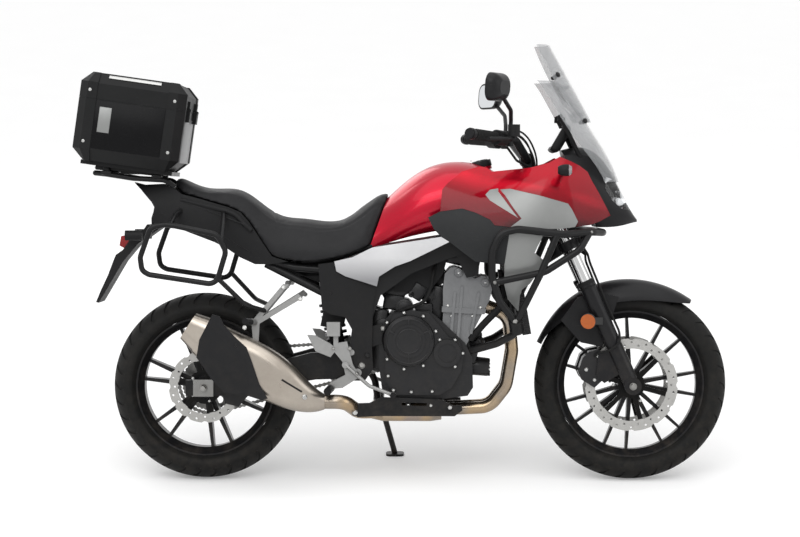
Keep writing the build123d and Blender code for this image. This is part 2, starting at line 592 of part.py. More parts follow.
silencer_rows = [
    # centre, tilt of the axis, width, height
    ((412, -186, 277), 0, 50, 50),
    ((360, -190, 288), 12, 84, 92),
    ((280, SILENCER_Y, 330), 28, 104, 140),
    ((120, SILENCER_Y, 425), 32, 110, 158),
    ((5, SILENCER_Y, 500), 33, 104, 134),
]
silencer = loft([silencer_ring(*row) for row in silencer_rows])
silencer_cutter = loft([silencer_ring(centre, tilt, width + 2 * SEAM, height + 2 * SEAM)
                        for centre, tilt, width, height in silencer_rows])
end_cap = loft([silencer_ring((8, SILENCER_Y, 498), 33, 102, 130),
                silencer_ring((-42, SILENCER_Y, 530), 33, 84, 98)])
end_cap -= rod((-90, SILENCER_Y, 561), (-10, SILENCER_Y, 509), 24)
silencer += end_cap
silencer_shield = slab([(43, 572), (67, 566), (80, 539), (116, 499), (156, 463), (173, 417),
                        (199, 340), (226, 294), (206, 288), (149, 306), (83, 311), (40, 357),
                        (-10, 430), (0, 489)], -258, -252.5)
silencer_shield += rod((120, -253, 425), (120, -240, 425), 9)
silencer_shield -= silencer_cutter

# ================================================================ swingarm and rear end
ARM_IN = 90.0
arm = slab([(-60, 290), (-60, 342), (60, 346), (200, 392), (360, 436), (470, 440), (560, 420),
            (566, 380), (500, 350), (380, 346), (200, 318), (60, 290)], -126, -ARM_IN - 8)
arm = both_sides(arm)
arm_bridge = box(392, 500, -110, 110, 352, 432)
arm_tube = across(PIVOT[0], PIVOT[1], 28, -112, 112)
swingarm = arm + arm_bridge + arm_tube
swingarm -= at_rear * rod((0, -200, 0), (0, 200, 0), REAR_TYRE_RADIUS + 14)
swingarm += both_sides(slab([(-60, 290), (-60, 342), (60, 346), (200, 392), (360, 436),
                             (380, 346), (200, 318), (60, 290)], -126, -ARM_IN - 8))
swingarm -= across(PIVOT[0], PIVOT[1], 12 + SEAM / 2, -200, 200)
swingarm -= at_rear * rod((0, -200, 0), (0, 200, 0), AXLE_RADIUS_REAR + SEAM / 2)
swingarm = swingarm - both_sides(across(PIVOT[0], PIVOT[1], 34, -160, -115))
arm_blocks = both_sides(box(-34, 34, -134, -126, 288, 345)
                        - at_rear * rod((0, -200, 0), (0, 200, 0), AXLE_RADIUS_REAR + SEAM / 2))

rear_shock = rod((420, 0, 600), (404, 0, 680), 22) + rod((450, 0, 438), (420, 0, 600), 26)
rear_shock += across(404, 694 - SEAM - 14, 14, -24, 24)
for n in range(7):
    f = 0.12 + 0.09 * n
    rear_shock += rod((452 - 46 * f, 0, 445 + 220 * f), (452 - 46 * f - 1.9, 0, 445 + 220 * f + 9), 38)
caliper_rear = slab([(60, 300), (70, 262), (116, 250), (150, 290), (140, 345), (100, 352)],
                    -ARM_IN - 8 + SEAM,
                    -REAR_DISC_Y + 26)
caliper_rear -= at_rear * rod((0, -REAR_DISC_Y - 9, 0), (0, -REAR_DISC_Y + 9, 0), REAR_DISC_RADIUS + 7)
caliper_rear -= at_rear * rod((0, -60, 0), (0, -48, 0), 100)

dx = FRONT_SPROCKET[0]
dz = FRONT_SPROCKET[1] - REAR_TYRE_RADIUS
span = hypot(dx, dz)


def chain_loop(extra):
    """Outline round both sprockets, extra outside their radii."""
    big = SPROCKET_RADIUS + extra
    small = FRONT_SPROCKET_RADIUS + extra
    base = atan2(dz, dx)
    lean_angle = atan2((big - small), (span ** 2 - (big - small) ** 2) ** 0.5)
    a = base + radians(90) - lean_angle
    b = base - radians(90) + lean_angle
    cz = REAR_TYRE_RADIUS
    p1 = (big * cos(a), cz + big * sin(a))
    p2 = (dx + small * cos(a), cz + dz + small * sin(a))
    p3 = (dx + small * cos(b), cz + dz + small * sin(b))
    p4 = (big * cos(b), cz + big * sin(b))
    nose = (dx + small * cos(base), cz + dz + small * sin(base))
    tail = (-big * cos(base), cz - big * sin(base))
    edges = [Line(p1, p2), ThreePointArc(p2, nose, p3), Line(p3, p4), ThreePointArc(p4, tail, p1)]
    return Face(Wire([e.edge() for e in edges]))


chain_plane = Plane(origin=(0, SPROCKET_Y, 0), x_dir=(1, 0, 0), z_dir=(0, -1, 0))
drive_chain = extrude(chain_plane * chain_loop(2 + CHAIN_HEIGHT), amount=CHAIN_WIDTH / 2, both=True)
drive_chain -= extrude(chain_plane * chain_loop(2.0), amount=CHAIN_WIDTH, both=True)
drive_chain += rod((dx, SPROCKET_Y - 4, 420), (dx, SPROCKET_Y + 4, 420), FRONT_SPROCKET_RADIUS + 3)
drive_chain += rod((dx, SPROCKET_Y - 12 + SEAM, 420), (dx, SPROCKET_Y - 3, 420), 16)

upper_rail_path = [(520, -128, 706), (300, -118, 724), (180, -112, 760), (60, -96, 850),
                   (-60, -60, 905)]
lower_rail_path = [(512, -130, 600), (400, -124, 640), (210, -114, 735)]


def subframe_tubes(extra=0.0):
    """Both pairs of rails and their cross tubes, extra outside their radii."""
    tubes = both_sides(pipe(upper_rail_path, SUBFRAME_TUBE + extra, 120))
    tubes += both_sides(pipe(lower_rail_path, SUBFRAME_TUBE + extra, 100))
    tubes += across(-30, 876, 10 + extra, -78, 78)
    tubes += across(180, 760, 10 + extra, -112, 112)
    return tubes


subframe = subframe_tubes()
battery_tray = box(290 + SEAM, 500, -100, 100, 694, 744 - SEAM)
# airbox under the tank, with the two intake trunks into the head
airbox = slab([(640, 640), (650, 752), (770, 800), (830, 790), (806, 700), (760, 640)], -88, 88)
intakes = both_sides(rod((790, -46, 690), (806 - SEAM, -46, 668), 26)
                     + rod((770, -46, 704), (796, -46, 686), 33))

# ================================================================ tank, seat and tail
tank_rows = [
    (540, 850, (70, 835), (102, 815), (112, 790)),
    (600, 940, (82, 915), (118, 860), (118, 800)),
    (660, 996, (95, 962), (140, 890), (120, 818)),
    (740, 1053, (112, 1016), (164, 915), (120, 838)),
    (830, 1079, (128, 1040), (170, 930), (120, 856)),
    (910, 1075, (136, 1034), (168, 930), (120, 878)),
    (985, 1044, (120, 1014), (158, 935), (116, 905)),
]
tank_body = crowned_body(tank_rows)
behind_seat = [(619, 960), (561, 795), (540, 700), (400, 700), (400, 1100), (640, 1100)]
fuel_tank = tank_body - slab(behind_seat, -300, 300)
fuel_tank += rod((938, 0, 1050), (931, 0, 1080), 36)

seat_rows = [
    (-110, 1012, (40, 1004), (52, 985), (50, 930)),
    (-40, 1004, (85, 992), (104, 965), (100, 900)),
    (60, 988, (108, 972), (124, 940), (122, 860)),
    (140, 972, (116, 952), (132, 910), (132, 780)),
    (215, 918, (122, 896), (142, 850), (144, 740)),
    (290, 889, (128, 866), (148, 820), (150, 720)),
    (380, 880, (124, 858), (150, 810), (152, 720)),
    (460, 882, (108, 862), (146, 810), (154, 730)),
    (520, 918, (84, 896), (130, 830), (146, 750)),
    (580, 968, (62, 944), (100, 880), (128, 780)),
    (640, 975, (50, 950), (90, 880), (112, 790)),
]
seat_body = crowned_body(seat_rows)
seat_edge = [(-140, 1004), (-98, 986), (-75, 969), (-8, 952), (86, 925), (126, 908), (153, 878), (176, 845),
             (200, 808), (233, 761), (260, 752), (310, 744), (377, 744), (427, 752), (478, 763),
             (528, 780), (560, 797)]
seat_cut = seat_edge + [(618, 960), (640, 1100), (-140, 1100)]
seat = seat_body & slab(seat_cut, -300, 300)

tail_rows = [
    (-250, 1010, (28, 1004), (48, 990), (46, 860)),
    (-170, 1012, (62, 1002), (88, 960), (84, 840)),
    (-60, 1010, (104, 990), (120, 930), (112, 800)),
    (80, 995, (126, 960), (134, 890), (124, 760)),
    (180, 975, (128, 940), (140, 850), (134, 730)),
    (290, 880, (130, 840), (144, 790), (140, 700)),
]
tail_body = crowned_body(tail_rows)
under_seat = [(x, z - SEAM) for x, z in seat_edge if x < 290]
tail_outline = [(-245, 1009), (-211, 1000), *under_seat, (286, 744), (225, 734), (175, 734), (124, 757),
                (84, 784), (40, 807), (-77, 851), (-144, 868), (-178, 858), (-178, 888), (-171, 908),
                (-168, 925), (-178, 942), (-218, 985)]
tail_cowl = tail_body & slab(tail_outline, -300, 300)
GRAB_RADIUS = 8.0
grab_rail = pipe([(-75, -110, 950), (-8, -122, 933), (76, -132, 913), (110, -137, 899),
                  (143, -142, 866), (163, -143, 847)], GRAB_RADIUS, 60)
tail_cowl += both_sides(grab_rail)
tail_cowl -= subframe_tubes(SEAM)

# ================================================================ side fairings
flank_rows = [
    (430, (110, 1000), (158, 830), (156, 560)),
    (560, (120, 1000), (160, 840), (158, 560)),
    (700, (128, 1010), (184, 850), (158, 560)),
    (840, (142, 1070), (208, 900), (158, 560)),
    (980, (128, 1090), (222, 910), (158, 560)),
    (1120, (150, 1120), (226, 920), (158, 560)),
    (1240, (140, 1130), (200, 930), (146, 560)),
    (1330, (100, 1110), (156, 930), (120, 560)),
    (1400, (62, 1080), (100, 920), (80, 560)),
]
flank_outer = flank_body(flank_rows)
flank_inner = flank_body(flank_rows, SKIN_WALL)
flank_skin = flank_outer - flank_inner
flank_clear = flank_body(flank_rows, -SEAM)

red_outline = [(802, 986), (822, 1009), (848, 1029), (868, 1046), (928, 1064), (951, 1059),
               (968, 1046), (1094, 1059), (1157, 1076), (1194, 1096), (1234, 1079), (1260, 1066),
               (1287, 1046), (1300, 1019), (1327, 973), (1347, 936), (1366, 900), (1327, 880),
               (1293, 868), (1243, 862), (1127, 856), (1027, 862), (975, 868), (961, 886), (912, 910),
               (868, 923), (795, 913)]
silver_outline = [(994, 986), (1027, 989), (1127, 966), (1219, 940), (1233, 920), (1253, 880),
                  (1243, 862), (1193, 856), (1127, 856), (1027, 862), (1064, 890), (1037, 926),
                  (1011, 966)]
trim_outline = [(945, 969), (961, 986), (988, 990), (988, 978), (1004, 958), (1028, 925),
                (1053, 892), (1000, 925), (960, 950)]
lower_outline = [(1027, 862), (1127, 856), (1134, 830), (1117, 797), (1108, 777), (1137, 754),
                 (1127, 727), (1108, 694), (1094, 674), (1068, 654), (1061, 631), (1058, 578),
                 (1021, 621), (1008, 671), (1008, 737)]
knee_outline = [(755, 893), (795, 913), (868, 923), (912, 910), (961, 886), (975, 868),
                (1027, 862), (1008, 737), (912, 747), (868, 780), (829, 810), (795, 833),
                (775, 853)]
white_outline = [(442, 745), (502, 759), (569, 792), (799, 829), (826, 812), (695, 747),
                 (645, 729), (592, 695), (585, 662), (479, 695), (449, 712)]
cover_outline = [(388, 735), (440, 742), (449, 710), (479, 692), (583, 660), (572, 600),
                 (568, 467), (572, 384), (545, 345), (501, 345), (485, 400), (501, 517),
                 (478, 558), (428, 568), (401, 584)]


def flank_panel(outline, inset=0.0, wall=SKIN_WALL):
    """Panel of the given side outline on the curved flanks, half a seam small all round."""
    if inset:
        skin = flank_body(flank_rows, inset) - flank_body(flank_rows, inset + wall)
    else:
        skin = flank_skin
    right = Pos(0, -180, 0) * Box(4000, 240, 4000)
    return (grown(outline, -SEAM / 2) & skin) & right


red_half = flank_panel(red_outline) - grown(silver_outline, SEAM / 2) - grown(trim_outline, SEAM / 2)
side_fairings = both_sides(red_half)
upper_panels = both_sides(flank_panel(silver_outline) + flank_panel(trim_outline))
lower_shrouds = both_sides(flank_panel(lower_outline))
knee_panels = both_sides(flank_panel(knee_outline, 1.5, 6.0))
mid_panels = both_sides(flank_panel(white_outline))
# studs on the frame that carry the side panels
studs = both_sides(rod((650, -140, 742), (650, -260, 742), 8)) & flank_body(flank_rows, SKIN_WALL + SEAM)
studs += both_sides(rod((900, -140, 800), (900, -260, 800), 8)) & flank_body(flank_rows, 7.5 + SEAM)
main_frame += studs
radiator += (both_sides(rod((1058, -150, 690), (1058, -260, 690), 8))
             & flank_body(flank_rows, SKIN_WALL + SEAM))
pivot_covers = both_sides(slab(cover_outline, -COVER_OUT, -RAIL_OUT - SEAM))

# ================================================================ nose
nose_rows = [
    (1150, 1112, (92, 1090), (128, 1000), (120, 862)),
    (1240, 1128, (96, 1104), (132, 1000), (120, 862)),
    (1320, 1112, (86, 1084), (118, 980), (100, 860)),
    (1390, 1022, (64, 1004), (88, 940), (74, 862)),
    (1440, 925, (34, 918), (48, 900), (40, 872)),
    (1466, 886, (8, 884), (11, 880), (9, 877)),
]
nose_body = crowned_body(nose_rows)
lamp_outline = [(1352, 1030), (1400, 1012), (1446, 916), (1406, 924), (1378, 948), (1350, 990)]
lamp_zone = slab(lamp_outline, -140, 140)
steer_space = slab([(leg_x(800, FORK_OFFSET) + STEER_LINE, 800),
                    (leg_x(1180, FORK_OFFSET) + STEER_LINE, 1180), (900, 1180), (900, 800)],
                   -170, 170)
headlight = (nose_body & lamp_zone) - steer_space
nose_cowl = nose_body - grown(lamp_outline, SEAM)
nose_cowl -= steer_space
nose_cowl -= flank_skin

screen_rows = [
    (1012, 1404, 1350, 116), (1060, 1386, 1324, 138), (1145, 1338, 1258, 156), (1257, 1266, 1184, 146),
    (1352, 1200, 1124, 112),
]
spoiler_rows = [(1215, 1311, 1256, 86), (1300, 1265, 1210, 104), (1390, 1215, 1162, 104),
                (1476, 1167, 1122, 72)]


def screen_section(z, crown, edge, half, wall=4.0):
    """Horizontal slice of a curved screen."""
    outer = ThreePointArc((edge, -half, z), (crown, 0, z), (edge, half, z))
    inner = ThreePointArc((edge - wall, half, z), (crown - wall, 0, z), (edge - wall, -half, z))
    ends = [Line((edge, half, z), (edge - wall, half, z)), Line((edge - wall, -half, z), (edge, -half, z))]
    return Face(Wire([outer.edge(), ends[0].edge(), inner.edge(), ends[1].edge()]))


windscreen = loft([screen_section(*row) for row in screen_rows])
windscreen += loft([screen_section(*row) for row in spoiler_rows])
for y in (-52, 52):
    for z in (1240, 1332):
        x = 1300 - (z - 1215) * 0.53
        windscreen += rod((x - 44, y, z), (x - 8, y, z), 6)
windscreen -= crowned_body(nose_rows, SEAM)
screen_frame = both_sides(pipe([(1268, -92, 1090), (1234, -98, 1160), (1196, -98, 1238)], 8, 60))
screen_frame += rod((1228, -98, 1172), (1228, 98, 1172), 7)
screen_frame += both_sides(rod((1190, -98, 1222), (1215, -98, 1222), 7))
screen_frame -= crowned_body(nose_rows, SEAM)
screen_frame -= windscreen
meter_plane = Plane(origin=(1196, 0, 1162), x_dir=(0, 1, 0), z_dir=(-0.86, 0, 0.5))
meter = loft([meter_plane.offset(s) * RectangleRounded(w, h, 14)
              for s, w, h in ((-26, 140, 70), (-6, 168, 106), (6, 162, 100))])
meter += rod((1228, 0, 1172), (1205, 0, 1160), 15)
meter += rod((1228, 0, 1172), (1262, 0, 1110), 12)
meter -= rod((1228, -98, 1172), (1228, 98, 1172), 7 + SEAM)
meter -= crowned_body(nose_rows, SEAM)

signal = rod((1200, -140, 1040), (1206, -262, 1050), 8)
signal += loft([Plane(origin=(1196, -262, 1050), z_dir=(1, -0.1, 0)).offset(s) * Circle(r)
                for s, r in ((-14, 12), (4, 19), (22, 19))])
front_signals = both_sides(signal - flank_clear)
signal_lens = loft([Plane(origin=(1196, -262, 1050), z_dir=(1, -0.1, 0)).offset(s) * Circle(r)
                    for s, r in ((22 + SEAM, 18.5), (32, 12))])
front_signal_lenses = both_sides(signal_lens)

# ================================================================ crash bars and guard
crash_main = pipe([(1341, 0, 843), (1341, -140, 843), (1296, -212, 846), (1206, -262, 838),
                   (1050, -266, 856), (990, -266, 842), (966, -264, 780), (966, -262, 700),
                   (992, -254, 615), (1042, -244, 552), (1050, -205, 508), (985, -150, 470),
                   (892, -100, 440)], CRASH_TUBE, 70)
crash_brace = pipe([(1290, -214, 843), (1257, -244, 788), (1142, -256, 715), (975, -260, 680)],
                   CRASH_TUBE - 1, 70)
crash_leg = pipe([(1180, -262, 838), (1125, -262, 706), (1048, -242, 548)], CRASH_TUBE - 1, 70)
crash_side = crash_main + crash_brace + crash_leg
crash_side += rod((1044, -244, 556), (1051, -214, 517), 24)
crash_side -= slab(engine_outline, -ENGINE_HALF - SEAM, ENGINE_HALF + SEAM)
crash_side -= box(1200, 1500, -BRIDGE_HALF - SEAM, 300, 700, 1000)
crash_bars = both_sides(crash_side)
crash_bar_bridge = rod((1341, -BRIDGE_HALF, 843), (1341, BRIDGE_HALF, 843), CRASH_TUBE)

guard = slab([(488, 257), (497, 268), (560, 270), (600, 290), (800, 282), (840, 262), (870, 262),
              (872, 246), (846, 226), (595, 226), (520, 222)], -152, -146)
engine_guard = both_sides(guard)
engine_guard -= both_sides(slab([(668, 262), (668, 272), (752, 270), (752, 260)], -160, -140))
# struts up to the crankcase's underside, and the boss of the front bolt
engine_guard += both_sides(rod((690, -147, 262), (690, -100, 284), 8)
                           + rod((800, -147, 256), (800, -100, 286), 8)
                           + rod((830, -158, 256), (830, -145, 256), 9)
                           + rod((512, -158, 238), (512, -145, 238), 11))
engine_guard -= slab(engine_outline, -ENGINE_HALF - SEAM, ENGINE_HALF + SEAM)
engine_guard -= box(470, 660, 130, 160, 150, 300)
engine_guard -= chamber_clear

# ================================================================ foot controls
rider_peg = slab([(440, 470), (485, 478), (505, 400), (530, 360), (470, 322), (425, 318),
                  (430, 340), (480, 366), (470, 410), (440, 446)], -172, -160)
rider_peg += rod((520, -161, 372), (520, -COVER_OUT - SEAM, 372), 14)
rider_peg += rod((500, -161, 440), (500, -COVER_OUT - SEAM, 440), 10)
rider_peg += rod((432, -172, 322), (424, -262, 318), 13)
heel_plate = slab([(352, 500), (380, 498), (430, 470), (452, 452), (430, 425), (380, 445)], -174, -168)
rider_peg += heel_plate
rider_pegs = both_sides(rider_peg)
# rear brake fluid reservoir on the right bracket
rider_pegs += box(418, 462, -188, -166, 496, 543) + box(440, 456, -172, -166, 466, 500)
passenger = slab([(270, 668), (290, 668), (190, 548), (178, 532), (166, 545)], -158, -144)
passenger += slab([(322, 636), (336, 622), (182, 530), (172, 542)], -158, -144)
passenger += rod((176, -150, 540), (150, -240, 548), 11)
passenger += rod((283, -150, 660), (283, -120, 672), 8)
passenger -= pipe(lower_rail_path, SUBFRAME_TUBE + SEAM, 100)
passenger += slab([(164, 548), (192, 548), (188, 470), (170, 470)], -156, -146)
passenger_right = passenger - silencer_cutter
passenger_left = mirror(passenger, about=Plane.XZ)
footpegs = rider_pegs + passenger_right + passenger_left
brake_pedal = pipe([(480, -178.0 - SEAM, 400), (560, -186, 330), (640, -188, 300)], 6, 40)
brake_pedal += rod((640, -180, 300), (640, -218, 300), 10)
brake_pedal += rod((480, -172 - SEAM, 400), (480, -184, 400), 11)
gear_pedal = mirror(brake_pedal, about=Plane.XZ)
foot_pedals = brake_pedal + gear_pedal

# ================================================================ side stand
STAND_PIVOT = (585.0, 168.0, 262.0)
STAND_AXIS = (0.0, 0.835, 0.550)
FOOT_X = 640.0
FOOT_Y = 292.0
# the ground below the leaning tyres, in the leaned frame
GROUND = -REAR_CROWN * (1 - cos(radians(LEAN)))
foot_pad = Pos(FOOT_X, FOOT_Y, GROUND + 4) * Box(64, 44, 8)
foot_pad = fillet(foot_pad.edges().filter_by(Axis.Z), 16)
foot_pad = Rot(LEAN, 0, 0) * foot_pad
foot_z = FOOT_Y * tan(radians(LEAN))
pivot_point = Vector(*STAND_PIVOT)
axis_dir = Vector(*STAND_AXIS).normalized()
stand_leg = rod(STAND_PIVOT, (FOOT_X, FOOT_Y, foot_z + 3), 10)
stand_leg += rod(tuple(pivot_point - axis_dir * 14), tuple(pivot_point + axis_dir * 14), 19)
side_stand = stand_leg + foot_pad
stand_bracket = rod(tuple(pivot_point - axis_dir * (14 + SEAM)), tuple(pivot_point - axis_dir * 46), 17)
stand_bracket += pipe([tuple(pivot_point - axis_dir * 42), (572, 134, 322), (540, 134, 385)], 12, 40)
stand_bracket -= slab(engine_outline, -ENGINE_HALF - SEAM, ENGINE_HALF + SEAM)
main_frame += stand_bracket
main_frame -= across(PIVOT[0], PIVOT[1], 12 + SEAM / 2, -200, 200)

# ================================================================ luggage
rack = both_sides(pipe([(-370, -70, 1040), (-330, -92, 1036), (-240, -96, 1022), (-130, -94, 1016),
                        (-96, -84, 990), (-84, -78, 960)], RACK_TUBE, 40))
rack += pipe([(-370, 70, 1040), (-372, 0, 1040), (-370, -70, 1040)], RACK_TUBE, 20)
rack += box(-360, -130, -84, 84, 1036, 1042)
rear_rack = rack
lean_case = Pos(-86, 0, 1032) * Rot(0, CASE_PITCH, 0)


def pitched(solid):
    """From the case's own level frame to the machine."""
    return lean_case * solid


case_length = 352.0
case_floor = 8.0
case_split = 206.0
case_top = 292.0
CASE_CORNER = 28.0          # chamfers: upright corners, lid's top edges, base edges
CASE_TOP_EDGE = 34.0
CASE_BASE_EDGE = 40.0
GUARD_PROUD = 3.0
GUARD_SPAN = 58.0
HINGE_RADIUS = 6.0
PIN_RADIUS = 3.0
# hinge pin of the lid, at the rider's end of the case
LID_HINGE = (GUARD_PROUD + HINGE_RADIUS + 1.0, 0.0, case_floor + case_split + HINGE_RADIUS)


def case_block(grow):
    """Chamfered block of the case's outside, grown by the given wall."""
    block = Pos(-case_length / 2, 0, case_top / 2) * Box(case_length + 2 * grow, CASE_WIDTH + 2 * grow,
                                                         case_top + 2 * grow)
    block = chamfer(block.edges().filter_by(Axis.Z), CASE_CORNER)
    block = chamfer(block.faces().sort_by(Axis.Z)[-1].edges(), CASE_TOP_EDGE)
    return chamfer(block.faces().sort_by(Axis.Z)[0].edges(), CASE_BASE_EDGE)


outer = case_block(0)
# corner guards stand proud of the walls, and a strap runs down each side
guard_zones = box(-500, -case_length + GUARD_SPAN, -300, 300, -50, 400)
guard_zones += box(-GUARD_SPAN, 100, -300, 300, -50, 400)
guard_zones -= box(-500, 100, GUARD_SPAN - CASE_WIDTH / 2, CASE_WIDTH / 2 - GUARD_SPAN, -50, 400)
case_guards = case_block(GUARD_PROUD) & guard_zones
shell = outer + case_guards - case_block(-CASE_WALL)
# pressed panels in the two long sides
shell -= both_sides(box(-case_length + GUARD_SPAN + 14, -GUARD_SPAN - 14, -CASE_WIDTH / 2 - 5,
                        -CASE_WIDTH / 2 + 1.2, 52, case_split - 18))
low_half = box(-600, 200, -400, 400, -50, case_split)
case_body = Pos(0, 0, case_floor) * (shell & low_half)
case_lid = Pos(0, 0, case_floor + LID_GAP) * (shell - low_half)
hinge_x = LID_HINGE[0]
hinge_z = LID_HINGE[2]
seam_z = case_floor + case_split
for y in (-110, 110):
    # body leaf with two lugs and the pin, lid leaf with the knuckle between them
    lugs = box(-1, hinge_x + 4, y - 22, y + 22, hinge_z - 40, hinge_z)
    lugs -= box(-1, 40, y - 12 - SEAM, y + 12 + SEAM, hinge_z - HINGE_RADIUS - 2, hinge_z + 10)
    lugs -= box(-5, GUARD_PROUD - 2, y - 40, y + 40, seam_z, hinge_z + 10)
    case_body += lugs
    case_body += rod((hinge_x, y - 22, hinge_z), (hinge_x, y + 22, hinge_z), PIN_RADIUS)
    knuckle = rod((hinge_x, y - 12, hinge_z), (hinge_x, y + 12, hinge_z), HINGE_RADIUS)
    knuckle += box(-1, hinge_x, y - 12, y + 12, hinge_z + 1, hinge_z + 30)
    knuckle -= rod((hinge_x, y - 30, hinge_z), (hinge_x, y + 30, hinge_z), PIN_RADIUS + RUNNING_CLEARANCE)
    case_lid += knuckle
# lock at the back end: a catch on the lid over a plate on the body
case_lid += box(-case_length - 16, -case_length + 1, -34, 34, seam_z + 4, seam_z + 40)
case_body += box(-case_length - 12, -case_length + 1, -28, 28, seam_z - 44, seam_z - SEAM)
case_body = pitched(case_body)
case_lid = pitched(case_lid)
case_plate = pitched(box(-330, -20, -120, 120, -6, case_floor - SEAM))
rear_rack -= pitched(box(-600, 100, -300, 300, -6 - SEAM, 200))
rear_rack -= crowned_body(tail_rows, SEAM)
rear_rack -= crowned_body(seat_rows, SEAM)
# the loop is two tubes that meet end to end in the middle of its top and bottom runs
pannier = pipe([(0, -252, 847.8), (58, -252, 836), (88, -252, 780), (55, -252, 670),
                (-60, -252, 687.1)], RACK_TUBE, 34)
pannier += pipe([(-60, -252, 687.1), (-167, -252, 703), (-190, -252, 716), (-196, -252, 760),
                 (-160, -252, 862), (-110, -252, 868), (-80, -252, 864), (0, -252, 847.8)],
                RACK_TUBE, 34)
pannier_stay = pipe([(-60, -78, 930), (-90, -150, 900), (-100, -252, 862)], RACK_TUBE - 1, 40)
pannier_stay += pipe([(72, -252, 812), (72, -190, 866), (70, -130, 905)], RACK_TUBE - 1, 30)
pannier_stay += pipe([(62, -252, 690), (150, -215, 600), (212, -150, 578)], RACK_TUBE - 1, 40)
pannier_stay -= slab([(-300, 400), (600, 400), (600, 700), (-300, 700)], -158 - SEAM, 0)
pannier_stay -= pipe([(-8, -122, 933), (76, -132, 913), (110, -137, 899)], GRAB_RADIUS + SEAM, 60)
pannier_racks = both_sides(pannier + pannier_stay - crowned_body(tail_rows, SEAM))

mudguard = slab([(-145, 866), (-178, 860), (-196, 866), (-232, 812), (-252, 818), (-278, 780),
                 (-302, 763), (-312, 739), (-329, 694), (-353, 643), (-370, 602), (-360, 600),
                 (-278, 739), (-227, 800), (-150, 855)], -70, 70)
plate_panel = mudguard - grown(tail_outline, SEAM)
lamp_points = [(-292, 794), (-286, 826), (-256, 832), (-240, 820), (-274, 784)]
mudguard_outline = [(-145, 866), (-178, 860), (-196, 866), (-232, 812), (-252, 818), (-278, 780),
                    (-302, 763), (-278, 739), (-150, 855)]
tail_lamp = slab(lamp_points, -52, 52) - grown(mudguard_outline, SEAM)
rear_signals = both_sides(rod((-215, -70 - SEAM, 822), (-215, -134, 822), 7)
                          + rod((-262, -128, 830), (-205, -128, 830), 17))

under_seat_box = battery_tray + airbox + intakes
under_seat_box -= slab(head_outline, -HEAD_HALF - SEAM, HEAD_HALF + SEAM)

# ================================================================ reflectors and brake hoses
REFLECTOR = (1293.0, 546.0)
reflector = across(*REFLECTOR, 26, -LEG_Y - SLIDER_RADIUS - 11, -LEG_Y - SLIDER_RADIUS - 3)
reflector += box(1285, 1342, -LEG_Y - SLIDER_RADIUS - 3, -LEG_Y - 14, 534, 558)
reflector -= rod((leg_x(420), -LEG_Y, 420), (leg_x(660), -LEG_Y, 660), SLIDER_RADIUS + SEAM)
fork_reflectors = both_sides(reflector)
HOSE_RADIUS = 4.0
HOSE_OUT = LEG_Y + SLIDER_RADIUS + HOSE_RADIUS + 2.0
lower_hose = pipe([(leg_x(772) + 52, 0, 772), (leg_x(768) + 52, -60, 768), (leg_x(740) + 44, -100, 740),
                   (leg_x(600) + 38, -LEG_Y - 2, 600), (leg_x(510) + 38, -LEG_Y - 6, 510),
                   (leg_x(478) + 24, -HOSE_OUT - 4, 474), (leg_x(450) - 26, -HOSE_OUT, 446),
                   (1326, -118, 437), (1317, -104, 425)], HOSE_RADIUS, 26)
lower_hose -= rod((leg_x(400), -LEG_Y, 400), (leg_x(760), -LEG_Y, 760), SLIDER_RADIUS + SEAM)
upper_hose = pipe([(1012, -200, 1180), (1008, -176, 1140), (1052, -132, 1082), (leg_x(1030) + 42, -106, 1030),
                   (leg_x(960) + 44, -100, 960), (leg_x(860) + 44, -100, 860), (leg_x(792) + 46, -98, 792),
                   (leg_x(768) + 52, -60, 768)], HOSE_RADIUS, 24)
# union under the lower yoke, hung from it
union_low = Vector(leg_x(772) + 52, 0, 772)
union_axis = Vector(-sin(radians(RAKE)), 0, cos(radians(RAKE)))
union_top = Vector(leg_x(LOWER_YOKE_Z) + 20, 0, LOWER_YOKE_Z)
union = rod(tuple(union_low - union_axis * 8), tuple(union_top), 7) - lower_yoke
brake_hoses = both_sides(lower_hose) + upper_hose + union

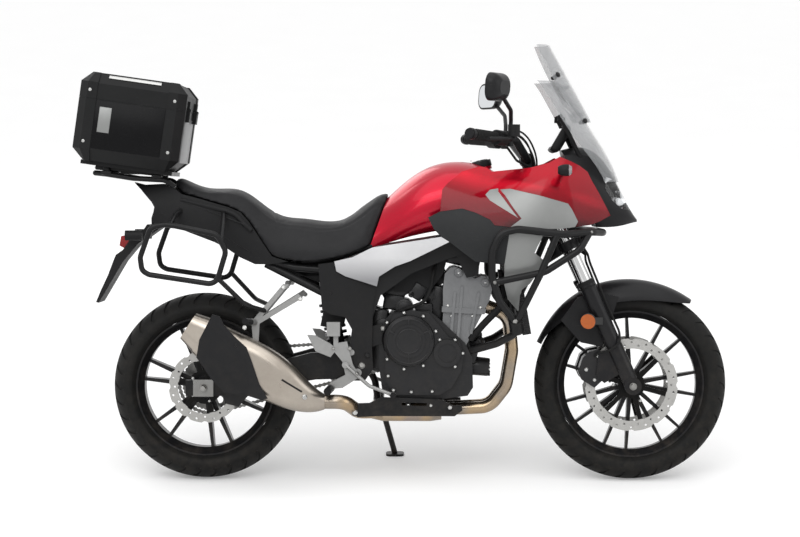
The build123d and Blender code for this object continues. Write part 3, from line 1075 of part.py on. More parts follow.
nodes = {
    "main_frame": main_frame, "subframe": subframe, "engine_block": engine_block,
    "cylinder_and_head": cylinder_head, "engine_covers": engine_covers, "radiator": radiator,
    "exhaust_headers": exhaust_headers, "exhaust_chamber": exhaust_chamber,
    "silencer": silencer, "silencer_heat_shield": silencer_shield,
    "swingarm": swingarm, "swingarm_shafts": pivot_shaft + arm_blocks + rear_axle,
    "rear_shock": rear_shock, "rear_caliper": caliper_rear, "drive_chain": drive_chain,
    "under_seat_box": under_seat_box, "fuel_tank": fuel_tank, "seat": seat,
    "tail_cowl": tail_cowl, "side_fairings": side_fairings, "upper_side_panels": upper_panels,
    "lower_shrouds": lower_shrouds, "knee_panels": knee_panels,
    "mid_side_panels": mid_panels, "pivot_covers": pivot_covers, "nose_cowl": nose_cowl,
    "headlight": headlight, "windscreen": windscreen,
    "instrument_panel": meter + screen_frame, "turn_signals": front_signals + rear_signals,
    "signal_lenses": front_signal_lenses,
    "crash_bars": crash_bars + crash_bar_bridge, "engine_guard": engine_guard,
    "footpegs": footpegs + foot_pedals,
    "rear_rack": rear_rack + case_plate, "case_body": case_body,
    "pannier_racks": pannier_racks, "rear_mudguard": plate_panel, "tail_lamp": tail_lamp,
    "steering_yokes": steering_yokes, "fork_stanchions": stanchions, "fork_sliders": fork_sliders,
    "front_axle": front_axle, "handlebar": handlebar + bar_ends, "grips": grips,
    "hand_controls": hand_controls, "mirrors": mirrors,
    "front_fender": front_fender, "front_calipers": front_calipers,
    "front_tyre": at_front * front_tyre, "front_rim": at_front * front_rim,
    "front_discs": at_front * front_discs,
    "rear_tyre": at_rear * rear_tyre, "rear_rim": at_rear * rear_rim,
    "rear_disc": at_rear * rear_disc, "rear_sprocket": at_rear * sprocket,
    "side_stand": side_stand, "case_lid": case_lid,
    "brake_hoses": brake_hoses, "fork_reflectors": fork_reflectors,
}

# ================================================================ standing on its side stand
leaned = {name: Rot(-LEAN, 0, 0) * solid for name, solid in nodes.items()}
boxes = [solid.bounding_box() for solid in leaned.values()]
X_LOW = min(b.min.X for b in boxes)
X_HIGH = max(b.max.X for b in boxes)
Y_LOW = min(b.min.Y for b in boxes)
Y_HIGH = max(b.max.Y for b in boxes)
Z_LOW = min(b.min.Z for b in boxes)
SHIFT = (-(X_LOW + X_HIGH) / 2, -(Y_LOW + Y_HIGH) / 2, -Z_LOW)
# skins cut along free curves keep their edges as space curves only
curved_cuts = ("side_fairings", "upper_side_panels")
for name, solid in leaned.items():
    placed = Pos(*SHIFT) * solid
    placed.label = name
    export_step(placed, f"parts/{name}.step", write_pcurves=name not in curved_cuts)
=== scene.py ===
"""Adventure motorcycle on its side stand: finishes, padded seat, small fittings, light and camera."""

import logging
import math
from dataclasses import dataclass, replace
from enum import Enum
from functools import cache

import bmesh
import bpy
from mathutils import Euler, Matrix, Vector
from mathutils.bvhtree import BVHTree


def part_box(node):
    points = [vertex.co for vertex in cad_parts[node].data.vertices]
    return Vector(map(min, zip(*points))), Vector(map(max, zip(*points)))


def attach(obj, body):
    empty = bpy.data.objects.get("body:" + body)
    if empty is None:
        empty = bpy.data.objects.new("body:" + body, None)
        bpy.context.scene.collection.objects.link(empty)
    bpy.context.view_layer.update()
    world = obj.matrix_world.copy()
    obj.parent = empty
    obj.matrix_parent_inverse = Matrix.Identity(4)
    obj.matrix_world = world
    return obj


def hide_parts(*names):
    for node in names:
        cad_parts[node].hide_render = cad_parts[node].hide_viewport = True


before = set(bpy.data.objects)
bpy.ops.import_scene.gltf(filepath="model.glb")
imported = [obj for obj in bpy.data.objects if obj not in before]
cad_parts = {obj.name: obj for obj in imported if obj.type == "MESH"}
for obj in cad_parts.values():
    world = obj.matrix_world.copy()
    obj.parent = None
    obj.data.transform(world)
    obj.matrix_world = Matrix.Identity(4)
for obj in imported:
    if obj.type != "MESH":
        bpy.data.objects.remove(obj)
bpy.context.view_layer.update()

LOG = logging.getLogger("motorcycle")
Colour = tuple[float, float, float]
Point = tuple[float, float, float]
Range = tuple[float, float]
Line = tuple[Range, ...]
MM = 0.001
RIGHT, LEFT = -1.0, 1.0
BOTH = (RIGHT, LEFT)
FULL_TURN = 2 * math.pi


class Body(Enum):
    """The bodies that pieces ride on."""

    CHASSIS = "chassis"
    FORK = "fork"
    FRONT_WHEEL = "front_wheel"
    REAR_WHEEL = "rear_wheel"
    LID = "case_lid"


class Texture(Enum):
    """How the fine relief of a finish is made."""

    SMOOTH = "smooth"
    GRAINED = "grained"
    CAST = "cast"
    BRUSHED = "brushed"


# ---------------------------------------------------------------- place
@dataclass(frozen=True)
class Stance:
    """The lean of the parked machine, from upright millimetres to the shared frame."""

    lean: float = 8.5
    wheelbase: float = 1445.0
    axle_height: float = 326.0

    def matrix(self) -> Matrix:
        """The transform from upright millimetres to the shared frame.

        Returns:
            A 4 x 4 matrix that scales, leans and shifts.
        """
        low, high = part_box("front_tyre")
        turn = Matrix.Rotation(-math.radians(self.lean), 4, "X") @ Matrix.Scale(MM, 4)
        axle = turn @ Vector((self.wheelbase, 0.0, self.axle_height))
        return Matrix.Translation((low + high) / 2 - axle) @ turn


STANCE = Stance().matrix()
UPRIGHT = STANCE.inverted()


# ---------------------------------------------------------------- scene helpers
def add_object(name: str, data: bpy.types.ID) -> bpy.types.Object:
    """Makes an object and links it to the scene.

    Args:
        name: The object's name.
        data: Its mesh, curve, light or camera.

    Returns:
        The new object.
    """
    made = bpy.data.objects.new(name, data)
    bpy.context.scene.collection.objects.link(made)
    return made


def settled_mesh(name: str, bm: bmesh.types.BMesh) -> bpy.types.Mesh:
    """Turns a finished bmesh into a mesh and frees it.

    Args:
        name: The mesh's name.
        bm: The finished bmesh.

    Returns:
        The new mesh.
    """
    mesh = bpy.data.meshes.new(name)
    bm.to_mesh(mesh)
    bm.free()
    return mesh


def evaluated_mesh(made: bpy.types.Object) -> bpy.types.Mesh:
    """The mesh that an object's curve or modifiers give."""
    return bpy.data.meshes.new_from_object(made.evaluated_get(bpy.context.evaluated_depsgraph_get()))


# ---------------------------------------------------------------- shader helpers
class Graph:
    """Adds nodes to one node tree and links them."""

    def __init__(self, tree: bpy.types.NodeTree) -> None:
        """Keeps the tree.

        Args:
            tree: The node tree to fill.
        """
        self.tree = tree
        self.count = 0

    def add(self, kind: str, **settings: object) -> bpy.types.Node:
        """Adds a node.

        Args:
            kind: The node type without its ShaderNode prefix.
            **settings: Properties of the node.

        Returns:
            The new node.
        """
        node = self.tree.nodes.new(kind if kind.startswith("Node") else "ShaderNode" + kind)
        for key, value in settings.items():
            setattr(node, key, value)
        node.location = (180 * (self.count % 8), -220 * (self.count // 8))
        self.count += 1
        return node

    def feed(self, socket: bpy.types.NodeSocket, value: object) -> None:
        """Links an output to a socket, or sets the socket's value.

        Args:
            socket: The input socket.
            value: An output socket, a number, a colour or a vector.
        """
        if isinstance(value, bpy.types.NodeSocket):
            self.tree.links.new(value, socket)
        elif isinstance(value, tuple) and len(value) == 3 and socket.type == "RGBA":
            socket.default_value = (*value, 1.0)
        else:
            socket.default_value = value

    def math(self, operation: str, a: object, b: object = 0.5) -> bpy.types.NodeSocket:
        """Adds a Math node.

        Args:
            operation: What it works out.
            a: Its first value.
            b: Its second value, where the operation takes one.

        Returns:
            Its result.
        """
        node = self.add("Math", operation=operation)
        self.feed(node.inputs[0], a)
        self.feed(node.inputs[1], b)
        return node.outputs[0]

    def blend(self, factor: object, a: object, b: object, mode: str = "MIX") -> bpy.types.NodeSocket:
        """Mixes two colours.

        Args:
            factor: The share of the second colour.
            a: The first colour.
            b: The second colour.
            mode: How they are mixed.

        Returns:
            The mixed colour.
        """
        node = self.add("Mix", data_type="RGBA", blend_type=mode)
        for index, value in ((0, factor), (6, a), (7, b)):
            self.feed(node.inputs[index], value)
        return node.outputs[2]

    def spread(self, value: object, source: Range, low: float, high: float) -> bpy.types.NodeSocket:
        """Maps a value from a source range to low..high, clamped.

        Args:
            value: What is mapped.
            source: The minimum and maximum that it is mapped from.
            low: The result at the source's minimum.
            high: The result at the source's maximum.

        Returns:
            The mapped value.
        """
        node = self.add("MapRange")
        for index, item in enumerate((value, *source, low, high)):
            self.feed(node.inputs[index], item)
        return node.outputs[0]

    def noise(self, vector: object, scale: object, detail: float = 3.0,
              rough: float = 0.55) -> bpy.types.NodeSocket:
        """Adds a noise.

        Args:
            vector: Where it is read.
            scale: Its scale.
            detail: Its number of octaves.
            rough: How strong the fine octaves are.

        Returns:
            Its factor.
        """
        node = self.add("TexNoise")
        self.feed(node.inputs["Vector"], vector)
        self.feed(node.inputs["Scale"], scale)
        node.inputs["Detail"].default_value = detail
        node.inputs["Roughness"].default_value = rough
        return node.outputs[0]

    def parts(self, vector: object) -> bpy.types.NodeOutputs:
        """The x, y and z of a vector, or the red, green and blue of a colour."""
        node = self.add("SeparateXYZ")
        self.feed(node.inputs[0], vector)
        return node.outputs

    def stretch(self, vector: object, scale: Point, turn: Point = (0.0, 0.0, 0.0)) -> bpy.types.NodeSocket:
        """Turns and stretches coordinates.

        Args:
            vector: The coordinates.
            scale: The factor along each axis.
            turn: Euler angles in radians.

        Returns:
            The new coordinates.
        """
        node = self.add("Mapping")
        self.feed(node.inputs[0], vector)
        node.inputs["Rotation"].default_value = turn
        node.inputs["Scale"].default_value = scale
        return node.outputs[0]

    def measure(self, where: object, direction: Point, shift: float) -> bpy.types.NodeSocket:
        """Distance along a direction of the upright machine.

        Args:
            where: Object coordinates.
            direction: The direction in the shared frame, in millimetres for each metre.
            shift: What is added, in millimetres.

        Returns:
            The distance in millimetres.
        """
        node = self.add("VectorMath", operation="DOT_PRODUCT")
        self.feed(node.inputs[0], where)
        node.inputs[1].default_value = direction
        return self.math("ADD", node.outputs["Value"], shift)


@dataclass(frozen=True)
class Effect:
    """One shared shader effect: a node group with named inputs and outputs."""

    name: str
    inputs: tuple[tuple[str, str, float], ...]
    outputs: tuple[tuple[str, str], ...]

    def begin(self) -> tuple[bpy.types.NodeTree, Graph, dict, dict]:
        """Makes the empty group.

        Returns:
            The tree, a graph on it, and its inner input and output sockets by name.
        """
        tree = bpy.data.node_groups.new(self.name, "ShaderNodeTree")
        for label, kind, value in self.inputs:
            made = tree.interface.new_socket(name=label, in_out="INPUT", socket_type=kind)
            if kind == "NodeSocketFloat":
                made.default_value = value
        for label, kind in self.outputs:
            tree.interface.new_socket(name=label, in_out="OUTPUT", socket_type=kind)
        graph = Graph(tree)
        entry, leave = graph.add("NodeGroupInput"), graph.add("NodeGroupOutput")
        return tree, graph, dict(entry.outputs.items()), dict(leave.inputs.items())


VECTOR, FLOAT = "NodeSocketVector", "NodeSocketFloat"


def relief_group() -> bpy.types.NodeTree:
    """Pebbled relief of moulded plastic, leathercloth or a casting.

    Returns:
        A group with a Vector, Scale and Pebble input and a Height output.
    """
    effect = Effect("surface_relief", (("Vector", VECTOR, 0), ("Scale", FLOAT, 500), ("Pebble", FLOAT, 0.5)),
                    (("Height", FLOAT),))
    tree, graph, given, out = effect.begin()
    cells = graph.add("TexVoronoi", feature="SMOOTH_F1")
    graph.feed(cells.inputs["Vector"], given["Vector"])
    graph.feed(cells.inputs["Scale"], given["Scale"])
    fine = graph.noise(given["Vector"], graph.math("MULTIPLY", given["Scale"], 0.7), detail=4.0, rough=0.6)
    pebble = graph.math("MULTIPLY", cells.outputs["Distance"], given["Pebble"])
    rest = graph.math("MULTIPLY", fine, graph.math("SUBTRACT", 1.0, given["Pebble"]))
    graph.feed(out["Height"], graph.math("ADD", pebble, rest))
    return tree


def patches_group() -> bpy.types.NodeTree:
    """Broad uneven patches, from handling and from the moulding.

    Returns:
        A group with a Vector, Scale and Contrast input and a Mask output.
    """
    effect = Effect("uneven_patches", (("Vector", VECTOR, 0), ("Scale", FLOAT, 9), ("Contrast", FLOAT, 0.5)),
                    (("Mask", FLOAT),))
    tree, graph, given, out = effect.begin()
    broad = graph.noise(given["Vector"], given["Scale"], detail=4.0, rough=0.6)
    close = graph.noise(given["Vector"], graph.math("MULTIPLY", given["Scale"], 7.0), detail=3.0, rough=0.6)
    broad_share = 0.7
    both = graph.math("ADD", graph.math("MULTIPLY", broad, broad_share),
                      graph.math("MULTIPLY", close, 1.0 - broad_share))
    centred = graph.math("SUBTRACT", both, 0.5)
    scaled = graph.math("MULTIPLY", centred, graph.math("MULTIPLY", given["Contrast"], 4.0))
    node = graph.add("Clamp")
    graph.feed(node.inputs[0], graph.math("ADD", scaled, 0.5))
    graph.feed(out["Mask"], node.outputs[0])
    return tree


def dust_group() -> bpy.types.NodeTree:
    """Road dust that thins out with height and lies in broken patches.

    Returns:
        A group with a Vector, Reach and Amount input and a Mask output.
    """
    effect = Effect("road_dust", (("Vector", VECTOR, 0), ("Reach", FLOAT, 0.6), ("Amount", FLOAT, 0.3)),
                    (("Mask", FLOAT),))
    tree, graph, given, out = effect.begin()
    height = graph.parts(given["Vector"])[2]
    low = graph.math("SUBTRACT", 1.0, graph.math("DIVIDE", height, given["Reach"]))
    clamp = graph.add("Clamp")
    graph.feed(clamp.inputs[0], low)
    broken = graph.spread(graph.noise(given["Vector"], 26.0, detail=6.0, rough=0.7), (0.42, 0.68), 0.0, 1.0)
    patches = graph.math("MULTIPLY", clamp.outputs[0], broken)
    graph.feed(out["Mask"], graph.math("MULTIPLY", patches, given["Amount"]))
    return tree


def scratch_group() -> bpy.types.NodeTree:
    """Fine hairline scratches and rubbed spots.

    Returns:
        A group with a Vector, Scale and Amount input and a Mask output.
    """
    effect = Effect("fine_scratches", (("Vector", VECTOR, 0), ("Scale", FLOAT, 40), ("Amount", FLOAT, 0.3)),
                    (("Mask", FLOAT),))
    tree, graph, given, out = effect.begin()
    drawn_out = graph.stretch(given["Vector"], (1.0, 9.0, 9.0), (0.4, 0.9, 0.3))
    streaks = graph.noise(drawn_out, given["Scale"], detail=8.0, rough=0.75)
    lines = graph.spread(streaks, (0.60, 0.66), 0.0, 1.0)
    where = graph.spread(graph.noise(given["Vector"], 6.0, detail=2.0), (0.45, 0.65), 0.0, 1.0)
    graph.feed(out["Mask"], graph.math("MULTIPLY", graph.math("MULTIPLY", lines, where), given["Amount"]))
    return tree


def brushed_group() -> bpy.types.NodeTree:
    """Lengthwise brushing of sheet metal.

    Returns:
        A group with a Vector and Scale input and a Streak output.
    """
    effect = Effect("brushing", (("Vector", VECTOR, 0), ("Scale", FLOAT, 60)), (("Streak", FLOAT),))
    tree, graph, given, out = effect.begin()
    drawn_out = graph.stretch(given["Vector"], (1.0, 26.0, 26.0))
    graph.feed(out["Streak"], graph.noise(drawn_out, given["Scale"], detail=5.0, rough=0.7))
    return tree


class Effects:
    """The shared groups, each built once."""

    built: dict[str, bpy.types.NodeTree] = {}
    makers = {"relief": relief_group, "patches": patches_group, "dust": dust_group,
              "scratches": scratch_group, "brushed": brushed_group}

    @classmethod
    def place(cls, graph: Graph, which: str, **values: object) -> bpy.types.NodeSocket:
        """Places a shared effect in a material.

        Args:
            graph: The material's graph.
            which: The effect's key.
            **values: Its inputs by name.

        Returns:
            The effect's only output.
        """
        if which not in cls.built:
            cls.built[which] = cls.makers[which]()
        node = graph.add("Group", node_tree=cls.built[which])
        for key, value in values.items():
            graph.feed(node.inputs[key], value)
        return node.outputs[0]


# ---------------------------------------------------------------- finishes
@dataclass(frozen=True)
class Finish:
    """A surface finish with colour variation, relief, scratches and road dust."""

    name: str
    colour: Colour
    shade: Colour
    roughness: float = 0.5
    rough_swing: float = 0.1
    metallic: float = 0.0
    coat: float = 0.0
    coat_roughness: float = 0.05
    texture: Texture = Texture.GRAINED
    grain_scale: float = 700.0
    pebble: float = 0.5
    grain_depth: float = 0.00008
    patch_scale: float = 9.0
    contrast: float = 0.5
    dust: float = 0.25
    dust_reach: float = 0.7
    scratches: float = 0.15
    scratch_colour: Colour = (0.12, 0.12, 0.12)
    dust_colour: Colour = (0.17, 0.14, 0.11)
    specular: float = 0.5
    scratch_scale: float = 34.0
    spot_scale: float = 2.3
    spot_contrast: float = 0.6
    dust_roughness: float = 0.3

    def body_colour(self, graph: Graph, where: bpy.types.NodeSocket) -> bpy.types.NodeSocket:
        """The clean colour before scratches and dust.

        Args:
            graph: The material's graph.
            where: Object coordinates.

        Returns:
            A colour output.
        """
        mask = Effects.place(graph, "patches", Vector=where, Scale=self.patch_scale, Contrast=self.contrast)
        return graph.blend(mask, self.colour, self.shade)

    def height(self, graph: Graph, where: bpy.types.NodeSocket) -> bpy.types.NodeSocket:
        """The relief's height.

        Args:
            graph: The material's graph.
            where: Object coordinates.

        Returns:
            A height output.
        """
        if self.texture is Texture.BRUSHED:
            return Effects.place(graph, "brushed", Vector=where, Scale=self.grain_scale)
        return Effects.place(graph, "relief", Vector=where, Scale=self.grain_scale, Pebble=self.pebble)

    def shader(self, graph: Graph) -> bpy.types.Node:
        """Adds the surface shader and sets what is the same all over it.

        Args:
            graph: The material's graph.

        Returns:
            The Principled node.
        """
        node = graph.add("BsdfPrincipled")
        node.inputs["Metallic"].default_value = self.metallic
        node.inputs["Coat Weight"].default_value = self.coat
        node.inputs["Coat Roughness"].default_value = self.coat_roughness
        node.inputs["Specular IOR Level"].default_value = self.specular
        return node

    def dress(self, graph: Graph, where: bpy.types.NodeSocket, surface: bpy.types.Node) -> None:
        """Feeds the surface shader.

        Args:
            graph: The material's graph.
            where: Object coordinates.
            surface: The Principled node.
        """
        colour = self.body_colour(graph, where)
        rubbed = Effects.place(graph, "scratches", Vector=where, Scale=self.scratch_scale,
                               Amount=self.scratches)
        colour = graph.blend(rubbed, colour, self.scratch_colour)
        dusty = Effects.place(graph, "dust", Vector=where, Reach=self.dust_reach, Amount=self.dust)
        graph.feed(surface.inputs["Base Color"], graph.blend(dusty, colour, self.dust_colour))
        spots = Effects.place(graph, "patches", Vector=where, Scale=self.patch_scale * self.spot_scale,
                              Contrast=self.spot_contrast)
        low, high = self.roughness - self.rough_swing / 2, self.roughness + self.rough_swing / 2
        clean = graph.spread(spots, (0.0, 1.0), low, high)
        dull = graph.math("MULTIPLY", dusty, self.dust_roughness)
        graph.feed(surface.inputs["Roughness"], graph.math("ADD", clean, dull))
        bump = graph.add("Bump")
        bump.inputs["Strength"].default_value = 1.0
        bump.inputs["Distance"].default_value = self.grain_depth
        graph.feed(bump.inputs["Height"], self.height(graph, where))
        graph.feed(surface.inputs["Normal"], bump.outputs[0])

    @cache
    def material(self) -> bpy.types.Material:
        """The finish as a material, made once.

        Returns:
            The material.
        """
        made = bpy.data.materials.new(self.name)
        made.use_nodes = True
        made.node_tree.nodes.clear()
        graph = Graph(made.node_tree)
        where = graph.add("TexCoord").outputs["Object"]
        surface = self.shader(graph)
        self.dress(graph, where, surface)
        leave = graph.add("OutputMaterial")
        graph.feed(leave.inputs["Surface"], surface.outputs[0])
        return made


@dataclass(frozen=True)
class Banded(Finish):
    """A finish that turns into a second tone along one direction of the upright machine (painted shade on the
    red paint).
    """

    fade_to: Colour = (0.3, 0.3, 0.3)
    axis: int = 2
    start: float = 0.0
    end: float = 1.0
    mirrored: bool = False

    def body_colour(self, graph: Graph, where: bpy.types.NodeSocket) -> bpy.types.NodeSocket:
        """Base colour mixed towards the second tone between start and end, in millimetres.

        Args:
            graph: The material's graph.
            where: Object coordinates.

        Returns:
            A colour output.
        """
        base = super().body_colour(graph, where)
        row = UPRIGHT[self.axis]
        along = graph.measure(where, row[:3], row[3])
        if self.mirrored:
            along = graph.math("ABSOLUTE", along)
        return graph.blend(graph.spread(along, (self.start, self.end), 0.0, 1.0), base, self.fade_to)


@dataclass(frozen=True)
class CandyPaint(Banded):
    """Clear-coated translucent paint over fine metal flake, with painted shade darkening it towards its lower
    edges.
    """

    flake: Colour = (0.75, 0.05, 0.08)
    flake_scale: float = 1500.0
    flake_share: Range = (0.86, 1.0)
    flake_strength: float = 0.5
    fold: float = 0.0
    fold_line: Point = (1013.0, 1030.0, -0.30)
    fold_softness: float = 1300.0

    def body_colour(self, graph: Graph, where: bpy.types.NodeSocket) -> bpy.types.NodeSocket:
        """Base colour with its painted shade, and a sparkle of flakes.

        Args:
            graph: The material's graph.
            where: Object coordinates.

        Returns:
            A colour output.
        """
        base = super().body_colour(graph, where)
        cells = graph.add("TexVoronoi")
        graph.feed(cells.inputs["Vector"], where)
        cells.inputs["Scale"].default_value = self.flake_scale
        chance = graph.parts(cells.outputs["Color"])[0]
        return graph.blend(graph.spread(chance, self.flake_share, 0.0, self.flake_strength), base, self.flake)

    def height(self, graph: Graph, where: bpy.types.NodeSocket) -> bpy.types.NodeSocket:
        """Fine relief with a pressed fold along a sloping line, whose sides fall away from it.

        Args:
            graph: The material's graph.
            where: Object coordinates.

        Returns:
            A height output.
        """
        fine = super().height(graph, where)
        if not self.fold:
            return fine
        x, z, slope = self.fold_line
        row = UPRIGHT[2] - UPRIGHT[0] * slope
        away = graph.math("ABSOLUTE", graph.measure(where, row[:3], row[3] - z + slope * x))
        square = graph.math("MULTIPLY", away, away)
        soft = graph.math("SQRT", graph.math("ADD", square, self.fold_softness))
        return graph.math("ADD", fine, graph.math("MULTIPLY", soft, -self.fold * MM / self.grain_depth))


@dataclass(frozen=True)
class Ringed(Finish):
    """A finish that turns into a second tone inside or outside a circle seen from the side."""

    second: Colour = (0.01, 0.01, 0.01)
    centre: Range = (0.0, 0.0)
    radius: float = 100.0
    edge: float = 0.6
    outside: bool = False

    def body_colour(self, graph: Graph, where: bpy.types.NodeSocket) -> bpy.types.NodeSocket:
        """Base colour on one side of the circle and the second tone on the other, in millimetres.

        Args:
            graph: The material's graph.
            where: Object coordinates.

        Returns:
            A colour output.
        """
        base = super().body_colour(graph, where)
        squares = []
        for axis, middle in ((0, self.centre[0]), (2, self.centre[1])):
            row = UPRIGHT[axis]
            along = graph.measure(where, row[:3], row[3] - middle)
            squares.append(graph.math("MULTIPLY", along, along))
        away = graph.math("SQRT", graph.math("ADD", squares[0], squares[1]))
        edge = (self.radius - self.edge, self.radius + self.edge)
        inner, outer = (0.0, 1.0) if self.outside else (1.0, 0.0)
        return graph.blend(graph.spread(away, edge, inner, outer), base, self.second)


@dataclass(frozen=True)
class Finned(Finish):
    """A cooler's core: level tubes with fine upright fins between them."""

    tube_rate: float = 760.0
    fin_rate: float = 2600.0
    fin_height: float = 0.4

    def height(self, graph: Graph, where: bpy.types.NodeSocket) -> bpy.types.NodeSocket:
        """Tubes along the machine's height and fins across it.

        Args:
            graph: The material's graph.
            where: Object coordinates.

        Returns:
            A height output.
        """
        _, y, z = graph.parts(where)
        tubes = graph.math("SINE", graph.math("MULTIPLY", z, self.tube_rate))
        fins = graph.math("SINE", graph.math("MULTIPLY", y, self.fin_rate))
        return graph.math("ADD", tubes, graph.math("MULTIPLY", fins, self.fin_height))


@dataclass(frozen=True)
class HeatTinted(Finish):
    """Stainless pipe with straw, bronze and blue heat bands."""

    straw: Colour = (0.42, 0.30, 0.17)
    blue: Colour = (0.16, 0.17, 0.24)
    band_scale: float = 7.0
    warm_band: Range = (0.4, 0.62)
    cool_band: Range = (0.62, 0.7)

    def body_colour(self, graph: Graph, where: bpy.types.NodeSocket) -> bpy.types.NodeSocket:
        """Base colour with bands that follow the pipe down from the head.

        Args:
            graph: The material's graph.
            where: Object coordinates.

        Returns:
            A colour output.
        """
        base = super().body_colour(graph, where)
        bands = graph.noise(where, self.band_scale, detail=2.0)
        warm = graph.spread(bands, self.warm_band, 0.0, 0.75)
        cool = graph.spread(bands, self.cool_band, 0.0, 0.4)
        return graph.blend(cool, graph.blend(warm, base, self.straw), self.blue)


@dataclass(frozen=True)
class TyreRubber(Finish):
    """Rubber with fine concentric lines on the side wall and a worn, dustier tread."""

    axle: Point = (0.0, 0.0, 0.0)
    line_rate: float = 1900.0
    line_height: float = 0.5

    def height(self, graph: Graph, where: bpy.types.NodeSocket) -> bpy.types.NodeSocket:
        """Mould lines round the axle over fine rubber grain.

        Args:
            graph: The material's graph.
            where: Object coordinates.

        Returns:
            A height output.
        """
        grain = super().height(graph, where)
        away = graph.add("VectorMath", operation="DISTANCE")
        graph.feed(away.inputs[0], where)
        away.inputs[1].default_value = self.axle
        rings = graph.math("SINE", graph.math("MULTIPLY", away.outputs["Value"], self.line_rate), 0.0)
        return graph.math("ADD", grain, graph.math("MULTIPLY", rings, self.line_height))


@dataclass(frozen=True)
class ClearFinish(Finish):
    """Clear or tinted glass and plastic."""

    transmission: float = 1.0
    alpha: float = 1.0
    ior: float = 1.45

    def shader(self, graph: Graph) -> bpy.types.Node:
        """The surface shader as a clear material."""
        node = super().shader(graph)
        node.inputs["Transmission Weight"].default_value = self.transmission
        node.inputs["IOR"].default_value = self.ior
        node.inputs["Alpha"].default_value = self.alpha
        return node


FRAME_BLACK = Finish("frame_black", (0.009, 0.009, 0.0095), (0.013, 0.013, 0.0135), 0.36, 0.12, coat=0.06,
                     grain_scale=900, grain_depth=0.00004, scratches=0.12, dust=0.15, specular=0.14)
PLASTIC_BLACK = Finish("black_plastic", (0.010, 0.010, 0.0105), (0.014, 0.014, 0.0145), 0.52, 0.12,
                       grain_scale=1100, pebble=0.8, grain_depth=0.00009, dust=0.1, specular=0.14)
SATIN_BLACK = Finish("satin_black", (0.011, 0.011, 0.012), (0.015, 0.015, 0.016), 0.34, 0.1,
                     grain_scale=1300, pebble=0.6, grain_depth=0.00003, dust=0.08, specular=0.16)
SIDE_GREY = Finish("knee_grey", (0.016, 0.017, 0.018), (0.022, 0.023, 0.024), 0.46, 0.1, grain_scale=1000,
                   pebble=0.8, grain_depth=0.00008, dust=0.05, specular=0.16)
# The side fairings' red darkens to fade_to between 1040 and 880 mm up: painted shade on their lower part.
CANDY_RED = CandyPaint("candy_red", (0.40, 0.003, 0.014), (0.31, 0.002, 0.010), 0.30, 0.06, metallic=0.55,
                       coat=0.35, coat_roughness=0.06, grain_scale=260, pebble=0.2, grain_depth=0.00001,
                       contrast=0.25, dust=0.0, scratches=0.0, scratch_colour=(0.4, 0.06, 0.07),
                       patch_scale=4, specular=0.06, fade_to=(0.11, 0.0004, 0.004), axis=2, start=1040.0,
                       end=880.0, flake=(0.5, 0.01, 0.03), fold=0.42)
# The tank's red darkens to fade_to between 900 and 800 mm up: painted shade on its lower part.
TANK_RED = replace(CANDY_RED, name="tank_red", colour=(0.50, 0.006, 0.026), shade=(0.40, 0.004, 0.020),
                   fade_to=(0.36, 0.003, 0.016), start=900.0, end=800.0, fold=0.0)
SATIN_SILVER = Finish("satin_silver", (0.27, 0.275, 0.27), (0.22, 0.225, 0.22), 0.38, 0.06, metallic=0.45,
                      coat=0.15, coat_roughness=0.2, grain_scale=1400, pebble=0.3, grain_depth=0.00002,
                      contrast=0.3, dust=0.05, scratches=0.03, patch_scale=5, specular=0.2)
ENGINE_BLACK = Finish("engine_black", (0.010, 0.010, 0.011), (0.017, 0.017, 0.018), 0.34, 0.14,
                      metallic=0.1, coat=0.12, coat_roughness=0.18, texture=Texture.CAST, grain_scale=800,
                      pebble=0.5, grain_depth=0.00008, dust=0.08, specular=0.22)
ENGINE_GREY = Finish("engine_grey", (0.21, 0.213, 0.217), (0.15, 0.153, 0.157), 0.44, 0.12, metallic=0.5,
                     texture=Texture.CAST, grain_scale=700, pebble=0.5, grain_depth=0.00014, dust=0.1,
                     specular=0.2)
HEADER_STEEL = HeatTinted("header_steel", (0.34, 0.295, 0.245), (0.22, 0.185, 0.15), 0.24, 0.1,
                          metallic=0.95, texture=Texture.BRUSHED, grain_scale=60, grain_depth=0.00001,
                          scratches=0.1, scratch_colour=(0.5, 0.45, 0.4), dust=0.05)
SILENCER_STEEL = Finish("silencer_steel", (0.42, 0.38, 0.33), (0.33, 0.29, 0.25), 0.30, 0.08, metallic=0.95,
                        texture=Texture.BRUSHED, grain_scale=110, grain_depth=0.00002, dust=0.15,
                        scratch_colour=(0.3, 0.27, 0.24))
STEEL = Finish("machined_steel", (0.27, 0.268, 0.26), (0.20, 0.198, 0.19), 0.30, 0.1, metallic=0.95,
               texture=Texture.BRUSHED, grain_scale=140, grain_depth=0.00002, dust=0.15)
BRIGHT_STEEL = Finish("bright_steel", (0.50, 0.50, 0.49), (0.40, 0.40, 0.39), 0.25, 0.08, metallic=0.95,
                      texture=Texture.BRUSHED, grain_scale=160, grain_depth=0.00001, dust=0.1)
CHROME = Finish("bright_chrome", (0.62, 0.62, 0.62), (0.55, 0.55, 0.55), 0.10, 0.05, metallic=1.0,
                texture=Texture.SMOOTH, grain_scale=200, grain_depth=0.000004, dust=0.08, scratches=0.05)
BLACK_ALLOY = Finish("black_alloy", (0.008, 0.008, 0.009), (0.012, 0.012, 0.013), 0.32, 0.1, metallic=0.1,
                     coat=0.1, coat_roughness=0.15, grain_scale=900, grain_depth=0.00003, dust=0.2,
                     dust_reach=0.6, specular=0.15)
RUBBER = Finish("soft_rubber", (0.009, 0.009, 0.009), (0.014, 0.014, 0.014), 0.66, 0.1, grain_scale=900,
                grain_depth=0.00008, dust=0.1, specular=0.15)
CASE_BLACK = Finish("case_black", (0.0035, 0.0035, 0.004), (0.006, 0.006, 0.0065), 0.26, 0.10,
                    grain_scale=900, pebble=0.6, grain_depth=0.00003, dust=0.0, scratches=0.1, specular=0.1)
